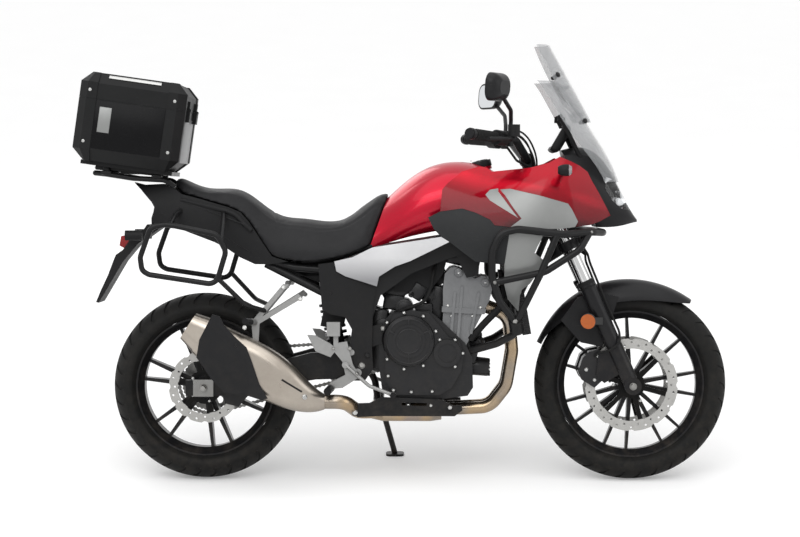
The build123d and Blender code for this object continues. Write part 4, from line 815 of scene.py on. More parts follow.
CASE_SIDE = Finish("case_side", (0.16, 0.162, 0.165), (0.13, 0.132, 0.135), 0.34, 0.1, metallic=0.3,
                   texture=Texture.BRUSHED, grain_scale=120, grain_depth=0.00002, dust=0.1, specular=0.4)
CASE_GUARD = Finish("case_guard", (0.009, 0.0092, 0.0095), (0.013, 0.0132, 0.0135), 0.48, 0.1,
                    grain_scale=800, pebble=0.8, grain_depth=0.00010, dust=0.0, specular=0.12)
RED_LENS = ClearFinish("red_lens", (0.36, 0.006, 0.008), (0.26, 0.005, 0.007), 0.10, 0.05,
                       texture=Texture.SMOOTH, grain_scale=260, grain_depth=0.00008, dust=0.05,
                       scratches=0.0, transmission=0.2)
SCREEN = ClearFinish("clear_screen", (0.36, 0.37, 0.38), (0.33, 0.34, 0.35), 0.05, 0.01,
                     texture=Texture.SMOOTH, grain_scale=20, grain_depth=0.0, dust=0.0, scratches=0.0,
                     transmission=0.0, alpha=0.36, coat=0.6)
LAMP_GLASS = ClearFinish("lamp_glass", (0.88, 0.90, 0.92), (0.84, 0.86, 0.88), 0.03, 0.02,
                         texture=Texture.SMOOTH, grain_scale=60, grain_depth=0.000002, dust=0.0,
                         scratches=0.0, transmission=1.0)
SIGNAL_GLASS = ClearFinish("signal_lens", (0.55, 0.56, 0.57), (0.50, 0.51, 0.52), 0.10, 0.04,
                           texture=Texture.SMOOTH, grain_scale=300, grain_depth=0.00006, dust=0.0,
                           scratches=0.0, transmission=0.6)
MIRROR = Finish("mirror_glass", (0.72, 0.74, 0.76), (0.70, 0.72, 0.74), 0.03, 0.02, metallic=1.0,
                texture=Texture.SMOOTH, grain_scale=60, grain_depth=0.000001, dust=0.03, scratches=0.0)
DISPLAY = Finish("display_glass", (0.010, 0.011, 0.012), (0.016, 0.017, 0.018), 0.08, 0.04, coat=1.0,
                 texture=Texture.SMOOTH, grain_scale=60, grain_depth=0.000002, dust=0.05, scratches=0.02)
SEAT_VINYL = Finish("seat_vinyl", (0.012, 0.012, 0.013), (0.018, 0.018, 0.019), 0.50, 0.14, grain_scale=650,
                    pebble=0.9, grain_depth=0.00025, dust=0.0, scratches=0.06,
                    scratch_colour=(0.05, 0.05, 0.05), specular=0.16)
# The mid panels turn from pale grey to dark grey between 756 and 680 mm up.
PALE_TO_GREY = Banded("pale_to_grey", (0.62, 0.62, 0.63), (0.57, 0.57, 0.58), 0.32, 0.05, metallic=0.1,
                    coat=0.4, grain_scale=1400, pebble=0.3, grain_depth=0.00002, dust=0.04, scratches=0.02,
                    specular=0.3, fade_to=(0.26, 0.26, 0.27), axis=2, start=756.0, end=680.0)
PEG_HANGER = Banded("peg_hanger", (0.33, 0.33, 0.325), (0.25, 0.25, 0.245), 0.44, 0.1, metallic=0.6,
                    texture=Texture.CAST, grain_scale=600, grain_depth=0.0001, dust=0.1, specular=0.2,
                    fade_to=(0.012, 0.012, 0.013), axis=1, start=193.0, end=195.0, mirrored=True)
FRONT_ROTOR = Ringed("front_rotor", (0.48, 0.475, 0.46), (0.38, 0.375, 0.36), 0.32, 0.1, metallic=0.9,
                     texture=Texture.BRUSHED, grain_scale=900, grain_depth=0.00002, dust=0.05, specular=0.2,
                     centre=(1445.0, 326.0), radius=121.0)
REAR_ROTOR = Ringed("rear_rotor", (0.44, 0.435, 0.42), (0.34, 0.335, 0.32), 0.32, 0.1, metallic=0.9,
                    texture=Texture.BRUSHED, grain_scale=900, grain_depth=0.00002, dust=0.05, specular=0.2,
                    centre=(0.0, 316.0), radius=90.0)
REFLECTOR = Ringed("fork_reflector", (0.45, 0.10, 0.008), (0.36, 0.07, 0.006), 0.22, 0.08, coat=0.5,
                   grain_scale=300, pebble=0.9, grain_depth=0.0003, dust=0.05, specular=0.3,
                   second=(0.012, 0.012, 0.012), centre=(1291.0, 544.0), radius=25.0, outside=True)
RADIATOR = Finned("radiator_core", (0.012, 0.012, 0.013), (0.020, 0.020, 0.021), 0.45, 0.1, metallic=0.3,
                  grain_depth=0.0012, dust=0.2, specular=0.3)

NODE_FINISHES: dict[Finish, tuple[str, ...]] = {
    FRAME_BLACK: ("main_frame", "subframe", "crash_bars", "rear_rack", "pannier_racks", "swingarm",
                  "engine_guard"),
    PLASTIC_BLACK: ("under_seat_box", "tail_cowl", "pivot_covers", "instrument_panel", "turn_signals",
                    "rear_mudguard", "hand_controls"),
    RADIATOR: ("radiator",),
    SATIN_BLACK: ("front_fender", "mirrors", "nose_cowl", "silencer_heat_shield", "handlebar"),
    SIDE_GREY: ("knee_panels",),
    TANK_RED: ("fuel_tank",),
    CANDY_RED: ("side_fairings",),
    SATIN_SILVER: ("upper_side_panels", "lower_shrouds"),
    PALE_TO_GREY: ("mid_side_panels",),
    ENGINE_BLACK: ("engine_block", "engine_covers", "rear_caliper", "front_calipers"),
    ENGINE_GREY: ("cylinder_and_head",),
    HEADER_STEEL: ("exhaust_headers", "exhaust_chamber"),
    SILENCER_STEEL: ("silencer",),
    FRONT_ROTOR: ("front_discs",),
    REAR_ROTOR: ("rear_disc",),
    STEEL: ("rear_sprocket", "drive_chain", "swingarm_shafts", "front_axle"),
    CHROME: ("fork_stanchions",),
    PEG_HANGER: ("footpegs",),
    BLACK_ALLOY: ("front_rim", "rear_rim", "fork_sliders", "steering_yokes", "rear_shock", "side_stand"),
    RUBBER: ("grips", "brake_hoses"),
    CASE_GUARD: ("case_body", "case_lid"),
    SCREEN: ("windscreen",),
    LAMP_GLASS: ("headlight",),
    SIGNAL_GLASS: ("signal_lenses",),
    REFLECTOR: ("fork_reflectors",),
    RED_LENS: ("tail_lamp",),
}


# ---------------------------------------------------------------- modelling helpers
BEVEL_STEPS = 2
CORNER_STEPS = 6
SHARP_EDGE = 0.6
LINE_STEPS = 8
SEAM_MERGE = 0.001
# each step of a bolt: its middle and depth as shares of the height, its two radii as shares, and its sides
BOLT_STEPS = ((0.30, 0.90, 1.00, 0.96, 16), (0.95, 0.50, 0.96, 0.62, 16), (1.17, 0.12, 0.50, 0.50, 6))


class Shape:
    """A mesh in the upright machine's millimetres that becomes a piece riding on a body."""

    def __init__(self) -> None:
        """Starts with an empty mesh."""
        self.bm = bmesh.new()

    def disc(self, centre: Point, axis: Point, radius: float, depth: float, sides: int = 24,
             top: float = -1.0, bevel: float = 0.0) -> None:
        """Adds a round or tapered disc centred on a point.

        Args:
            centre: The middle of the disc.
            axis: The direction of its axis.
            radius: The radius at the start of the axis.
            depth: The length along the axis.
            sides: The number of sides.
            top: The radius at the end of the axis, or the same where negative.
            bevel: The size of the bevel on both rims.
        """
        turn = Vector(axis).normalized().to_track_quat("Z", "Y").to_matrix().to_4x4()
        made = bmesh.ops.create_cone(self.bm, cap_ends=True, segments=sides, radius1=radius,
                                     radius2=radius if top < 0 else top, depth=depth,
                                     matrix=Matrix.Translation(centre) @ turn)["verts"]
        if bevel:
            self.soften(made, bevel)

    def block(self, centre: Point, size: Point, turn: Point = (0, 0, 0), bevel: float = 0.0) -> None:
        """Adds a block.

        Args:
            centre: The middle of the block.
            size: Its sides.
            turn: Euler angles in degrees.
            bevel: The size of the bevel on every edge.
        """
        rotate = Euler([math.radians(a) for a in turn]).to_matrix().to_4x4()
        scale = Matrix.Diagonal((*size, 1.0))
        place = Matrix.Translation(centre) @ rotate @ scale
        made = bmesh.ops.create_cube(self.bm, size=1.0, matrix=place)["verts"]
        if bevel:
            self.soften(made, bevel)

    def soften(self, verts: list[bmesh.types.BMVert], size: float) -> None:
        """Bevels the sharp edges among some vertices.

        Args:
            verts: The vertices whose edges are bevelled.
            size: The bevel's width.
        """
        edges = [e for e in self.edges_of(verts)
                 if len(e.link_faces) == 2 and e.calc_face_angle() > SHARP_EDGE]
        bmesh.ops.bevel(self.bm, geom=edges, offset=size, segments=BEVEL_STEPS, profile=0.5, affect="EDGES",
                        material=-1)

    def edges_of(self, verts: list[bmesh.types.BMVert]) -> list[bmesh.types.BMEdge]:
        """The edges with both ends among some vertices, in the mesh's own order."""
        near = set(verts)
        return [e for e in self.bm.edges if e.verts[0] in near and e.verts[1] in near]

    def bolt(self, centre: Point, axis: Point, radius: float = 5.0, height: float = 3.0) -> None:
        """Adds a button head bolt with a six-sided socket.

        Args:
            centre: Where the head meets the surface.
            axis: The direction out of the surface.
            radius: The head's radius.
            height: The head's height.
        """
        out = Vector(axis).normalized()
        base = Vector(centre)
        for middle, depth, low, top, sides in BOLT_STEPS:
            self.disc(base + out * height * middle, out, radius * low, height * depth, sides, radius * top)

    def ring(self, centre: Point, axis: Point, radius: float, tube: float, sides: int = 48,
             round_sides: int = 8) -> None:
        """Adds a round ring by spinning a small circle about an axis.

        Args:
            centre: The ring's centre.
            axis: The ring's axis.
            radius: From the axis to the tube's middle.
            tube: The tube's radius.
            sides: Steps round the ring.
            round_sides: Sides of the tube.
        """
        out = Vector(axis).normalized()
        side = out.orthogonal().normalized()
        turn = Matrix((side, out, out.cross(side))).transposed().to_4x4()
        place = Matrix.Translation(Vector(centre) + side * radius) @ turn
        made = bmesh.ops.create_circle(self.bm, cap_ends=False, segments=round_sides, radius=tube,
                                       matrix=place)["verts"]
        bmesh.ops.spin(self.bm, geom=made + self.edges_of(made), cent=centre, axis=out, angle=FULL_TURN,
                       steps=sides, use_merge=True, use_duplicate=False)

    def tube(self, points: tuple[Point, ...], radius: float, sides: int = 10) -> None:
        """Adds a smooth round tube along some points.

        Args:
            points: The control points of its line.
            radius: Its radius.
            sides: The number of sides.
        """
        data = bpy.data.curves.new("line", "CURVE")
        data.dimensions, data.bevel_depth, data.use_fill_caps = "3D", radius, True
        data.bevel_resolution, data.resolution_u = sides // 2 - 1, LINE_STEPS
        spline = data.splines.new("NURBS")
        spline.points.add(len(points) - 1)
        for place, point in zip(spline.points, points):
            place.co = (*point, 1.0)
        spline.order_u, spline.use_endpoint_u = 3, True
        line = add_object("line", data)
        made = evaluated_mesh(line)
        self.bm.from_mesh(made)
        bpy.data.objects.remove(line)
        bpy.data.meshes.remove(made)

    def plate(self, place: Matrix, width: float, height: float, thick: float, corner: float) -> None:
        """Adds a thin plate with rounded corners.

        Args:
            place: Its middle, with its normal along z.
            width: Its size along x.
            height: Its size along y.
            thick: Its thickness.
            corner: The radius of its corners.
        """
        flat = Matrix.Diagonal((width, height, thick, 1.0))
        made = bmesh.ops.create_cube(self.bm, size=1.0, matrix=flat)["verts"]
        corners = [e for e in self.edges_of(made) if e.verts[0].co.xy == e.verts[1].co.xy]
        rounded = bmesh.ops.bevel(self.bm, geom=corners, offset=corner, segments=CORNER_STEPS, profile=0.5,
                                  affect="EDGES", material=-1)["verts"]
        bmesh.ops.transform(self.bm, matrix=place, verts=rounded)

    def finish(self, name: str, body: Body, look: Finish, slot: str = "",
               smooth: float = 35.0) -> bpy.types.Object:
        """Settles the mesh on the parked machine and makes it ride on its body.

        Args:
            name: The piece's name.
            body: The body that it rides on.
            look: Its finish.
            slot: The name of a material slot; not used.
            smooth: Edges sharper than this many degrees stay sharp.

        Returns:
            The new object.
        """
        bmesh.ops.remove_doubles(self.bm, verts=self.bm.verts, dist=SEAM_MERGE)
        bmesh.ops.recalc_face_normals(self.bm, faces=self.bm.faces)
        for edge in self.bm.edges:
            edge.smooth = len(edge.link_faces) != 2 or edge.calc_face_angle() < math.radians(smooth)
        for face in self.bm.faces:
            face.smooth = True
        self.bm.transform(STANCE)
        mesh = settled_mesh(name, self.bm)
        mesh.materials.append(look.material())
        made = add_object(name, mesh)
        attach(made, body.value)
        LOG.info("made %s", name)
        return made


class Skin:
    """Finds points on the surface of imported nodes, in the upright machine's millimetres."""

    reach = 900.0

    def __init__(self, *nodes: str) -> None:
        """Builds the search tree of some nodes.

        Args:
            *nodes: The nodes' names.
        """
        joined = bmesh.new()
        for node in nodes:
            joined.from_mesh(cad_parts[node].data)
        joined.transform(UPRIGHT)
        self.tree = BVHTree.FromBMesh(joined)
        joined.free()

    def from_side(self, x: float, z: float, side: float = RIGHT) -> tuple[Vector, Vector] | None:
        """The outermost point at x and z, seen from one side.

        Args:
            x: Distance forward.
            z: Height.
            side: RIGHT or LEFT.

        Returns:
            The point and its outward normal, or None where there is no surface.
        """
        hit, normal, _, _ = self.tree.ray_cast(Vector((x, side * self.reach, z)), Vector((0, -side, 0)))
        if hit is None:
            return None
        return hit, normal if normal.y * side > 0 else -normal


@dataclass(frozen=True)
class Bolts:
    """Bolts seen from the side, on the surface of the nodes that they hold.

    Each place is a distance forward, a height and the radius of the bolt's head.
    """

    name: str
    nodes: tuple[str, ...]
    places: tuple[Point, ...]
    look: Finish = STEEL
    body: Body = Body.CHASSIS
    sides: tuple[float, ...] = BOTH
    head_share: float = 0.6
    ring_share: float = 0.9
    clear_of_hole: float = 4.0

    def build(self) -> bpy.types.Object:
        """Makes all the bolts as one piece.

        Returns:
            The piece.
        """
        skin, shape = Skin(*self.nodes), Shape()
        for x, z, radius in self.places:
            for side in self.sides:
                found = self.seat(skin, x, z, radius, side)
                if found:
                    shape.bolt((x, found[0].y, z), tuple(found[1]), radius, radius * self.head_share)
        return shape.finish(self.name, self.body, self.look, "steel")

    def seat(self, skin: Skin, x: float, z: float, radius: float,
             side: float) -> tuple[Vector, Vector] | None:
        """The surface under a bolt's head, or round the hole that the bolt fills.

        Args:
            skin: The surface.
            x: Distance forward.
            z: Height.
            radius: The head's radius.
            side: RIGHT or LEFT.

        Returns:
            The point and its outward normal, or None where there is no surface.
        """
        for reach in (0.0, radius * self.ring_share, radius + self.clear_of_hole):
            for dx, dz in ((reach, 0.0), (0.0, reach), (-reach, 0.0)):
                found = skin.from_side(x + dx, z + dz, side)
                if found:
                    return found
        return None


# ---------------------------------------------------------------- sub-assemblies
class Paintwork:
    """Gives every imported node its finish."""

    def build(self) -> None:
        """Dresses the nodes."""
        for look, names in NODE_FINISHES.items():
            for name in names:
                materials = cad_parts[name].data.materials
                materials.clear()
                materials.append(look.material())
                LOG.info("dressed %s", name)


@dataclass
class Tyre:
    """A tyre with a shoulder-to-shoulder crown, cut by slanting grooves."""

    node: str
    body: Body
    axle: Point
    radius: float
    width: float
    crown: float
    bead: float
    flange: float
    pitches: int = 34
    pitch_steps: int = 6
    slant: float = 0.10
    groove: float = 5.0
    crown_share: float = 0.93
    crown_steps: int = 8
    wall_line: Line = ((0.985, 0.14), (1.0, 0.36), (0.97, 0.60), (0.91, 0.76), (0.89, 0.78))
    lip: float = 3.0
    lip_seat: float = 2.0
    tread_share: float = 0.90
    middle_share: float = 0.07
    wall_margin: float = 20.0
    slope_start: float = 25.0
    slope_reach: float = 20.0
    slope_middle: float = 0.08
    narrowing: float = 0.45
    slant_power: float = 1.2

    def section(self) -> list[tuple[float, float]]:
        """Half the section, from the middle of the tread to the bead.

        Returns:
            Points as distance across and radius.
        """
        half = self.width / 2
        points = []
        for step in range(self.crown_steps + 1):
            y = half * self.crown_share * step / self.crown_steps
            points.append((y, self.radius - self.crown + math.sqrt(self.crown ** 2 - y * y)))
        shoulder = points[-1][1]
        wall = shoulder - self.bead
        points += [(half * out, shoulder - wall * down) for out, down in self.wall_line]
        lip = (self.flange + self.lip, self.bead + self.lip)
        return [*points, lip, (self.flange - self.lip_seat, self.bead)]

    def build(self) -> bpy.types.Object:
        """Makes the tyre.

        Returns:
            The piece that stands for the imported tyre.
        """
        shape = Shape()
        half = self.section()
        line = [(-y, r) for y, r in reversed(half)] + half[1:]
        cx, _, cz = self.axle
        verts = [shape.bm.verts.new((cx, y, cz + r)) for y, r in line]
        edges = [shape.bm.edges.new(pair) for pair in zip(verts, verts[1:])]
        edges.append(shape.bm.edges.new((verts[-1], verts[0])))
        bmesh.ops.spin(shape.bm, geom=verts + edges, cent=self.axle, axis=(0, 1, 0), angle=FULL_TURN,
                       steps=self.pitches * self.pitch_steps, use_merge=True, use_duplicate=False)
        self.cut(shape)
        self.slope(shape)
        made = shape.finish(self.node + "_tread", self.body, self.rubber(), "tyre_rubber", 30)
        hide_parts(self.node)
        return made

    def rubber(self) -> Finish:
        """The rubber of this tyre, with its mould lines centred on its axle."""
        return TyreRubber(self.node + "_rubber", (0.008, 0.008, 0.008), (0.013, 0.013, 0.0125), 0.62, 0.14,
                          grain_scale=500, pebble=0.3, grain_depth=0.00012, dust=0.08, dust_reach=0.9,
                          scratches=0.1, scratch_colour=(0.05, 0.05, 0.045), specular=0.12,
                          axle=tuple(STANCE @ Vector(self.axle)))

    def cut(self, shape: Shape) -> None:
        """Sinks the grooves into the tread.

        Args:
            shape: The tyre's shape.
        """
        cx, _, cz = self.axle
        edge = self.width / 2 * self.tread_share
        chosen = []
        for face in shape.bm.faces:
            c = face.calc_center_median()
            if math.hypot(c.x - cx, c.z - cz) < self.bead + self.wall_margin or abs(c.y) > edge:
                continue
            turn = math.atan2(c.z - cz, c.x - cx) / FULL_TURN * self.pitches
            phase = turn % 1.0 if c.y > 0 else (turn + 0.5) % 1.0
            if phase < 1 / self.pitch_steps and abs(c.y) > self.width * self.middle_share:
                chosen.append(face)
        grown = bmesh.ops.extrude_face_region(shape.bm, geom=chosen)["geom"]
        bmesh.ops.delete(shape.bm, geom=chosen, context="FACES")
        for vert in (g for g in grown if isinstance(g, bmesh.types.BMVert)):
            out = Vector((vert.co.x - cx, 0, vert.co.z - cz)).normalized()
            vert.co -= out * self.groove

    def slope(self, shape: Shape) -> None:
        """Slants the grooves and narrows them.

        Args:
            shape: The tyre's shape.
        """
        cx, _, cz = self.axle
        for vert in shape.bm.verts:
            radius = math.hypot(vert.co.x - cx, vert.co.z - cz)
            angle = math.atan2(vert.co.z - cz, vert.co.x - cx)
            phase = angle * self.pitches - math.pi / 6 + (math.pi if vert.co.y < 0 else 0.0)
            share = min(1.0, max(0.0, (radius - self.bead - self.slope_start) / self.slope_reach))
            side = min(1.0, abs(vert.co.y) / (self.width * self.slope_middle))
            angle += share * side * self.narrowing / self.pitches * math.sin(phase)
            angle += share * self.slant * (abs(vert.co.y) / (self.width / 2)) ** self.slant_power
            vert.co.x = cx + radius * math.cos(angle)
            vert.co.z = cz + radius * math.sin(angle)


@dataclass
class Seat:
    """The stepped seat: an inflated leathercloth cover with its side seams."""

    voxel: float = 0.006
    inset: float = 0.003
    cap: float = 0.0035
    seam_depth: float = 0.0022
    seam_reach: float = 6.0
    seam_floor: float = 790.0
    step_floor: float = 850.0
    step_x: float = 232.0
    step_bow: float = 0.0012
    pinned_below: float = 780.0
    pressure: float = 4.0
    frames: int = 15
    smoothing: int = 3
    seam_line: Line = ((-120, 44), (-40, 90), (60, 110), (140, 118), (215, 122), (380, 122), (460, 106),
                       (520, 84), (640, 52))

    def body_mesh(self) -> bpy.types.Mesh:
        """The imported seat, welded, drawn in and remeshed to even cells.

        Returns:
            The remeshed mesh.
        """
        bm = bmesh.new()
        bm.from_mesh(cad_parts["seat"].data)
        bmesh.ops.remove_doubles(bm, verts=bm.verts, dist=0.00001)
        bm.normal_update()
        for vert in bm.verts:
            vert.co -= vert.normal * self.inset
        start = add_object("seat_start", settled_mesh("seat_start", bm))
        remesh = start.modifiers.new("even", "REMESH")
        remesh.mode, remesh.voxel_size = "VOXEL", self.voxel
        done = evaluated_mesh(start)
        bpy.data.objects.remove(start)
        return done

    def inflate(self, mesh: bpy.types.Mesh) -> None:
        """Swells the cover with a short cloth simulation and caps how far it goes.

        Args:
            mesh: The cover's mesh, changed in place.
        """
        rest = [v.co.copy() for v in mesh.vertices]
        pad = add_object("seat_pad", mesh)
        pinned = pad.vertex_groups.new(name="base")
        low = [v.index for v in mesh.vertices if (UPRIGHT @ v.co).z < self.pinned_below]
        pinned.add(low, 1.0, "REPLACE")
        cloth = pad.modifiers.new("cloth", "CLOTH")
        cloth.settings.use_pressure = True
        cloth.settings.uniform_pressure_force = self.pressure
        cloth.settings.vertex_group_mass = "base"
        cloth.settings.effector_weights.gravity = 0.0
        for step in range(1, self.frames + 1):
            bpy.context.scene.frame_set(step)
        swollen = evaluated_mesh(pad)
        for vert, new, old in zip(mesh.vertices, swollen.vertices, rest):
            move = new.co - old
            vert.co = old + (move.normalized() * self.cap if move.length > self.cap else move)
        bpy.context.scene.frame_set(1)
        bpy.data.objects.remove(pad)

    def build(self) -> bpy.types.Object:
        """Makes the padded seat.

        Returns:
            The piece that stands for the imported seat.
        """
        mesh = self.body_mesh()
        self.inflate(mesh)
        bm = bmesh.new()
        bm.from_mesh(mesh)
        for _ in range(self.smoothing):
            bmesh.ops.smooth_vert(bm, verts=bm.verts, factor=0.5, use_axis_x=True, use_axis_y=True,
                                  use_axis_z=True)
        bm.normal_update()
        self.sew(bm)
        for face in bm.faces:
            face.smooth = True
        cover = settled_mesh("seat_cover", bm)
        cover.materials.append(SEAT_VINYL.material())
        made = add_object("seat_cover", cover)
        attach(made, Body.CHASSIS.value)
        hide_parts("seat")
        return made

    def sew(self, bm: bmesh.types.BMesh) -> None:
        """Draws the seams into the cover.

        Args:
            bm: The cover, changed in place.
        """
        for vert in bm.verts:
            place = UPRIGHT @ vert.co
            near = abs(abs(place.y) - self.side_seam(place.x))
            if place.z > self.step_floor:
                near = min(near, abs(place.x - (self.step_x + self.step_bow * place.y ** 2)))
            if place.z > self.seam_floor and near < self.seam_reach:
                vert.co -= vert.normal * self.seam_depth * (1 - (near / self.seam_reach) ** 2)

    def side_seam(self, x: float) -> float:
        """Half the distance between the two side seams at x."""
        for (x0, y0), (x1, y1) in zip(self.seam_line, self.seam_line[1:]):
            if x <= x1:
                return y0 + (y1 - y0) * max(0.0, (x - x0) / (x1 - x0))
        return self.seam_line[-1][1]


@dataclass
class DriveChain:
    """The roller chain, link by link round both sprockets."""

    rear: Point = (0.0, 93.0, 316.0)
    front: Point = (622.0, 93.0, 420.0)
    rear_radius: float = 105.5
    front_radius: float = 49.5
    pitch: float = 15.875
    plate: float = 6.6
    thick: float = 1.4
    waist: Range = (0.55, 1.25)
    roller: Range = (5.0, 8.0)
    pin: Range = (2.6, 14.0)
    plate_places: Range = (4.0, 5.6)

    def route(self) -> list[tuple[Vector, Vector]]:
        """Places of the pins round the loop.

        Returns:
            Pairs of a link's two pin positions.
        """
        a, b = Vector(self.rear), Vector(self.front)
        span = b - a
        base = math.atan2(span.z, span.x)
        tilt = math.asin((self.rear_radius - self.front_radius) / span.length)
        up, down = base + math.pi / 2 - tilt, base - math.pi / 2 + tilt
        straight = math.sqrt(span.length_squared - (self.rear_radius - self.front_radius) ** 2)
        wrap_front = (math.pi - 2 * tilt) * self.front_radius
        wrap_rear = (math.pi + 2 * tilt) * self.rear_radius
        whole = 2 * straight + wrap_front + wrap_rear
        count = 2 * round(whole / self.pitch / 2)

        def off(centre: Vector, angle: float, radius: float) -> Vector:
            """The point at an angle and radius from a sprocket's centre."""
            return centre + Vector((math.cos(angle), 0, math.sin(angle))) * radius

        def at(s: float) -> Vector:
            """The point at a distance along the loop."""
            s %= whole
            if s < straight:
                return off(a, up, self.rear_radius).lerp(off(b, up, self.front_radius), s / straight)
            s -= straight
            if s < wrap_front:
                return off(b, up - s / self.front_radius, self.front_radius)
            s -= wrap_front
            if s < straight:
                return off(b, down, self.front_radius).lerp(off(a, down, self.rear_radius), s / straight)
            return off(a, down - (s - straight) / self.rear_radius, self.rear_radius)

        return [(at(whole * k / count), at(whole * (k + 1) / count)) for k in range(count)]

    def build(self) -> bpy.types.Object:
        """Makes the chain.

        Returns:
            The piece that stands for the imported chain.
        """
        shape = Shape()
        for index, (start, end) in enumerate(self.route()):
            middle = (start + end) / 2
            run = end - start
            turn = -math.degrees(math.atan2(run.z, run.x))
            reach = self.plate_places[index % 2]
            for side in (-reach, reach):
                place = (middle.x, middle.y + side, middle.z)
                size = (run.length * self.waist[0], self.thick, self.plate * self.waist[1])
                shape.block(place, size, (0, turn, 0))
                for pin in (start, end):
                    shape.disc((pin.x, pin.y + side, pin.z), (0, 1, 0), self.plate, self.thick, 10)
            shape.disc(tuple(start), (0, 1, 0), *self.roller, 8)
            shape.disc(tuple(start), (0, 1, 0), *self.pin, 6)
        made = shape.finish("chain_links", Body.CHASSIS, STEEL, "steel")
        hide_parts("drive_chain")
        return made


# ---------------------------------------------------------------- simple solids
def other_side(point: Point) -> Point:
    """A point's mirror image on the other side of the machine."""
    return point[0], -point[1], point[2]


@dataclass(frozen=True)
class Disc:
    """A round or tapered disc, as Shape.disc makes it."""

    centre: Point
    axis: Point
    radius: float
    depth: float
    sides: int = 24
    top: float = -1.0
    bevel: float = 0.0

    def add(self, shape: Shape) -> None:
        """Adds it to a shape."""
        shape.disc(self.centre, self.axis, self.radius, self.depth, self.sides, self.top, self.bevel)

    def across(self) -> "Disc":
        """Its mirror image on the other side."""
        return replace(self, centre=other_side(self.centre), axis=other_side(self.axis))


@dataclass(frozen=True)
class Block:
    """A block, as Shape.block makes it."""

    centre: Point
    size: Point
    turn: Point = (0, 0, 0)
    bevel: float = 0.0

    def add(self, shape: Shape) -> None:
        """Adds it to a shape."""
        shape.block(self.centre, self.size, self.turn, self.bevel)

    def across(self) -> "Block":
        """Its mirror image on the other side."""
        x, y, z = self.turn
        return replace(self, centre=other_side(self.centre), turn=(-x, y, -z))


@dataclass(frozen=True)
class Ring:
    """A round ring, as Shape.ring makes it."""

    centre: Point
    axis: Point
    radius: float
    tube: float
    sides: int = 48
    round_sides: int = 8

    def add(self, shape: Shape) -> None:
        """Adds it to a shape."""
        shape.ring(self.centre, self.axis, self.radius, self.tube, self.sides, self.round_sides)

    def across(self) -> "Ring":
        """Its mirror image on the other side."""
        return replace(self, centre=other_side(self.centre), axis=other_side(self.axis))


@dataclass(frozen=True)
class Hose:
    """A smooth round tube along some points, as Shape.tube makes it."""

    points: tuple[Point, ...]
    radius: float
    sides: int = 10

    def add(self, shape: Shape) -> None:
        """Adds it to a shape."""
        shape.tube(self.points, self.radius, self.sides)

    def across(self) -> "Hose":
        """Its mirror image on the other side."""
        return replace(self, points=tuple(other_side(point) for point in self.points))


@dataclass(frozen=True)
class Bolt:
    """A button head bolt, as Shape.bolt makes it."""

    centre: Point
    axis: Point
    radius: float
    height: float

    def add(self, shape: Shape) -> None:
        """Adds it to a shape."""
        shape.bolt(self.centre, self.axis, self.radius, self.height)

    def across(self) -> "Bolt":
        """Its mirror image on the other side."""
        return replace(self, centre=other_side(self.centre), axis=other_side(self.axis))


Solid = Disc | Block | Ring | Hose | Bolt


def both_sides(*solids: Solid) -> tuple[Solid, ...]:
    """Some solids of the right side, and then their mirror images."""
    return *solids, *(solid.across() for solid in solids)


def blocks_round(centre: Point, radius: float, count: int, block: Block, first: float = 0.0) -> list[Block]:
    """Copies of a block round a circle that faces forward, each turned with its place.

    Args:
        centre: The circle's centre.
        radius: The circle's radius.
        count: The number of blocks.
        block: What is copied.
        first: The first block's angle in degrees.

    Returns:
        The copies.
    """
    x, y, z = centre
    copies = []
    for step in range(count):
        turn = first + 360 / count * step
        angle = math.radians(turn)
        place = (x, y + radius * math.cos(angle), z + radius * math.sin(angle))
        copies.append(replace(block, centre=place, turn=(turn, 0, 0)))
    return copies


@dataclass(frozen=True)
class Fitting:
    """A rigid piece of simple solids, with its finish, a slot name and the body that it rides on."""

    name: str
    look: Finish
    slot: str
    solids: tuple[Solid, ...]
    body: Body = Body.CHASSIS

    def build(self, place: Matrix = Matrix.Identity(4)) -> None:
        """Makes the piece.

        Args:
            place: From the solids' own directions to the upright machine's.
        """
        shape = Shape()
        for solid in self.solids:
            solid.add(shape)
        shape.bm.transform(place)
        shape.finish(self.name, self.body, self.look, self.slot)


# ---------------------------------------------------------------- fittings
def bolt_circle(x: float, z: float, radius: float, angles: tuple[float, ...],
                size: float) -> tuple[Point, ...]:
    """Places for bolts round a circle.

    Args:
        x: The circle's centre forward.
        z: The circle's centre up.
        radius: The circle's radius.
        angles: Angles in degrees.
        size: The radius of a bolt's head.

    Returns:
        Triples of x, z and the head's radius.
    """
    turns = [math.radians(angle) for angle in angles]
    return tuple((x + radius * math.cos(turn), z + radius * math.sin(turn), size) for turn in turns)


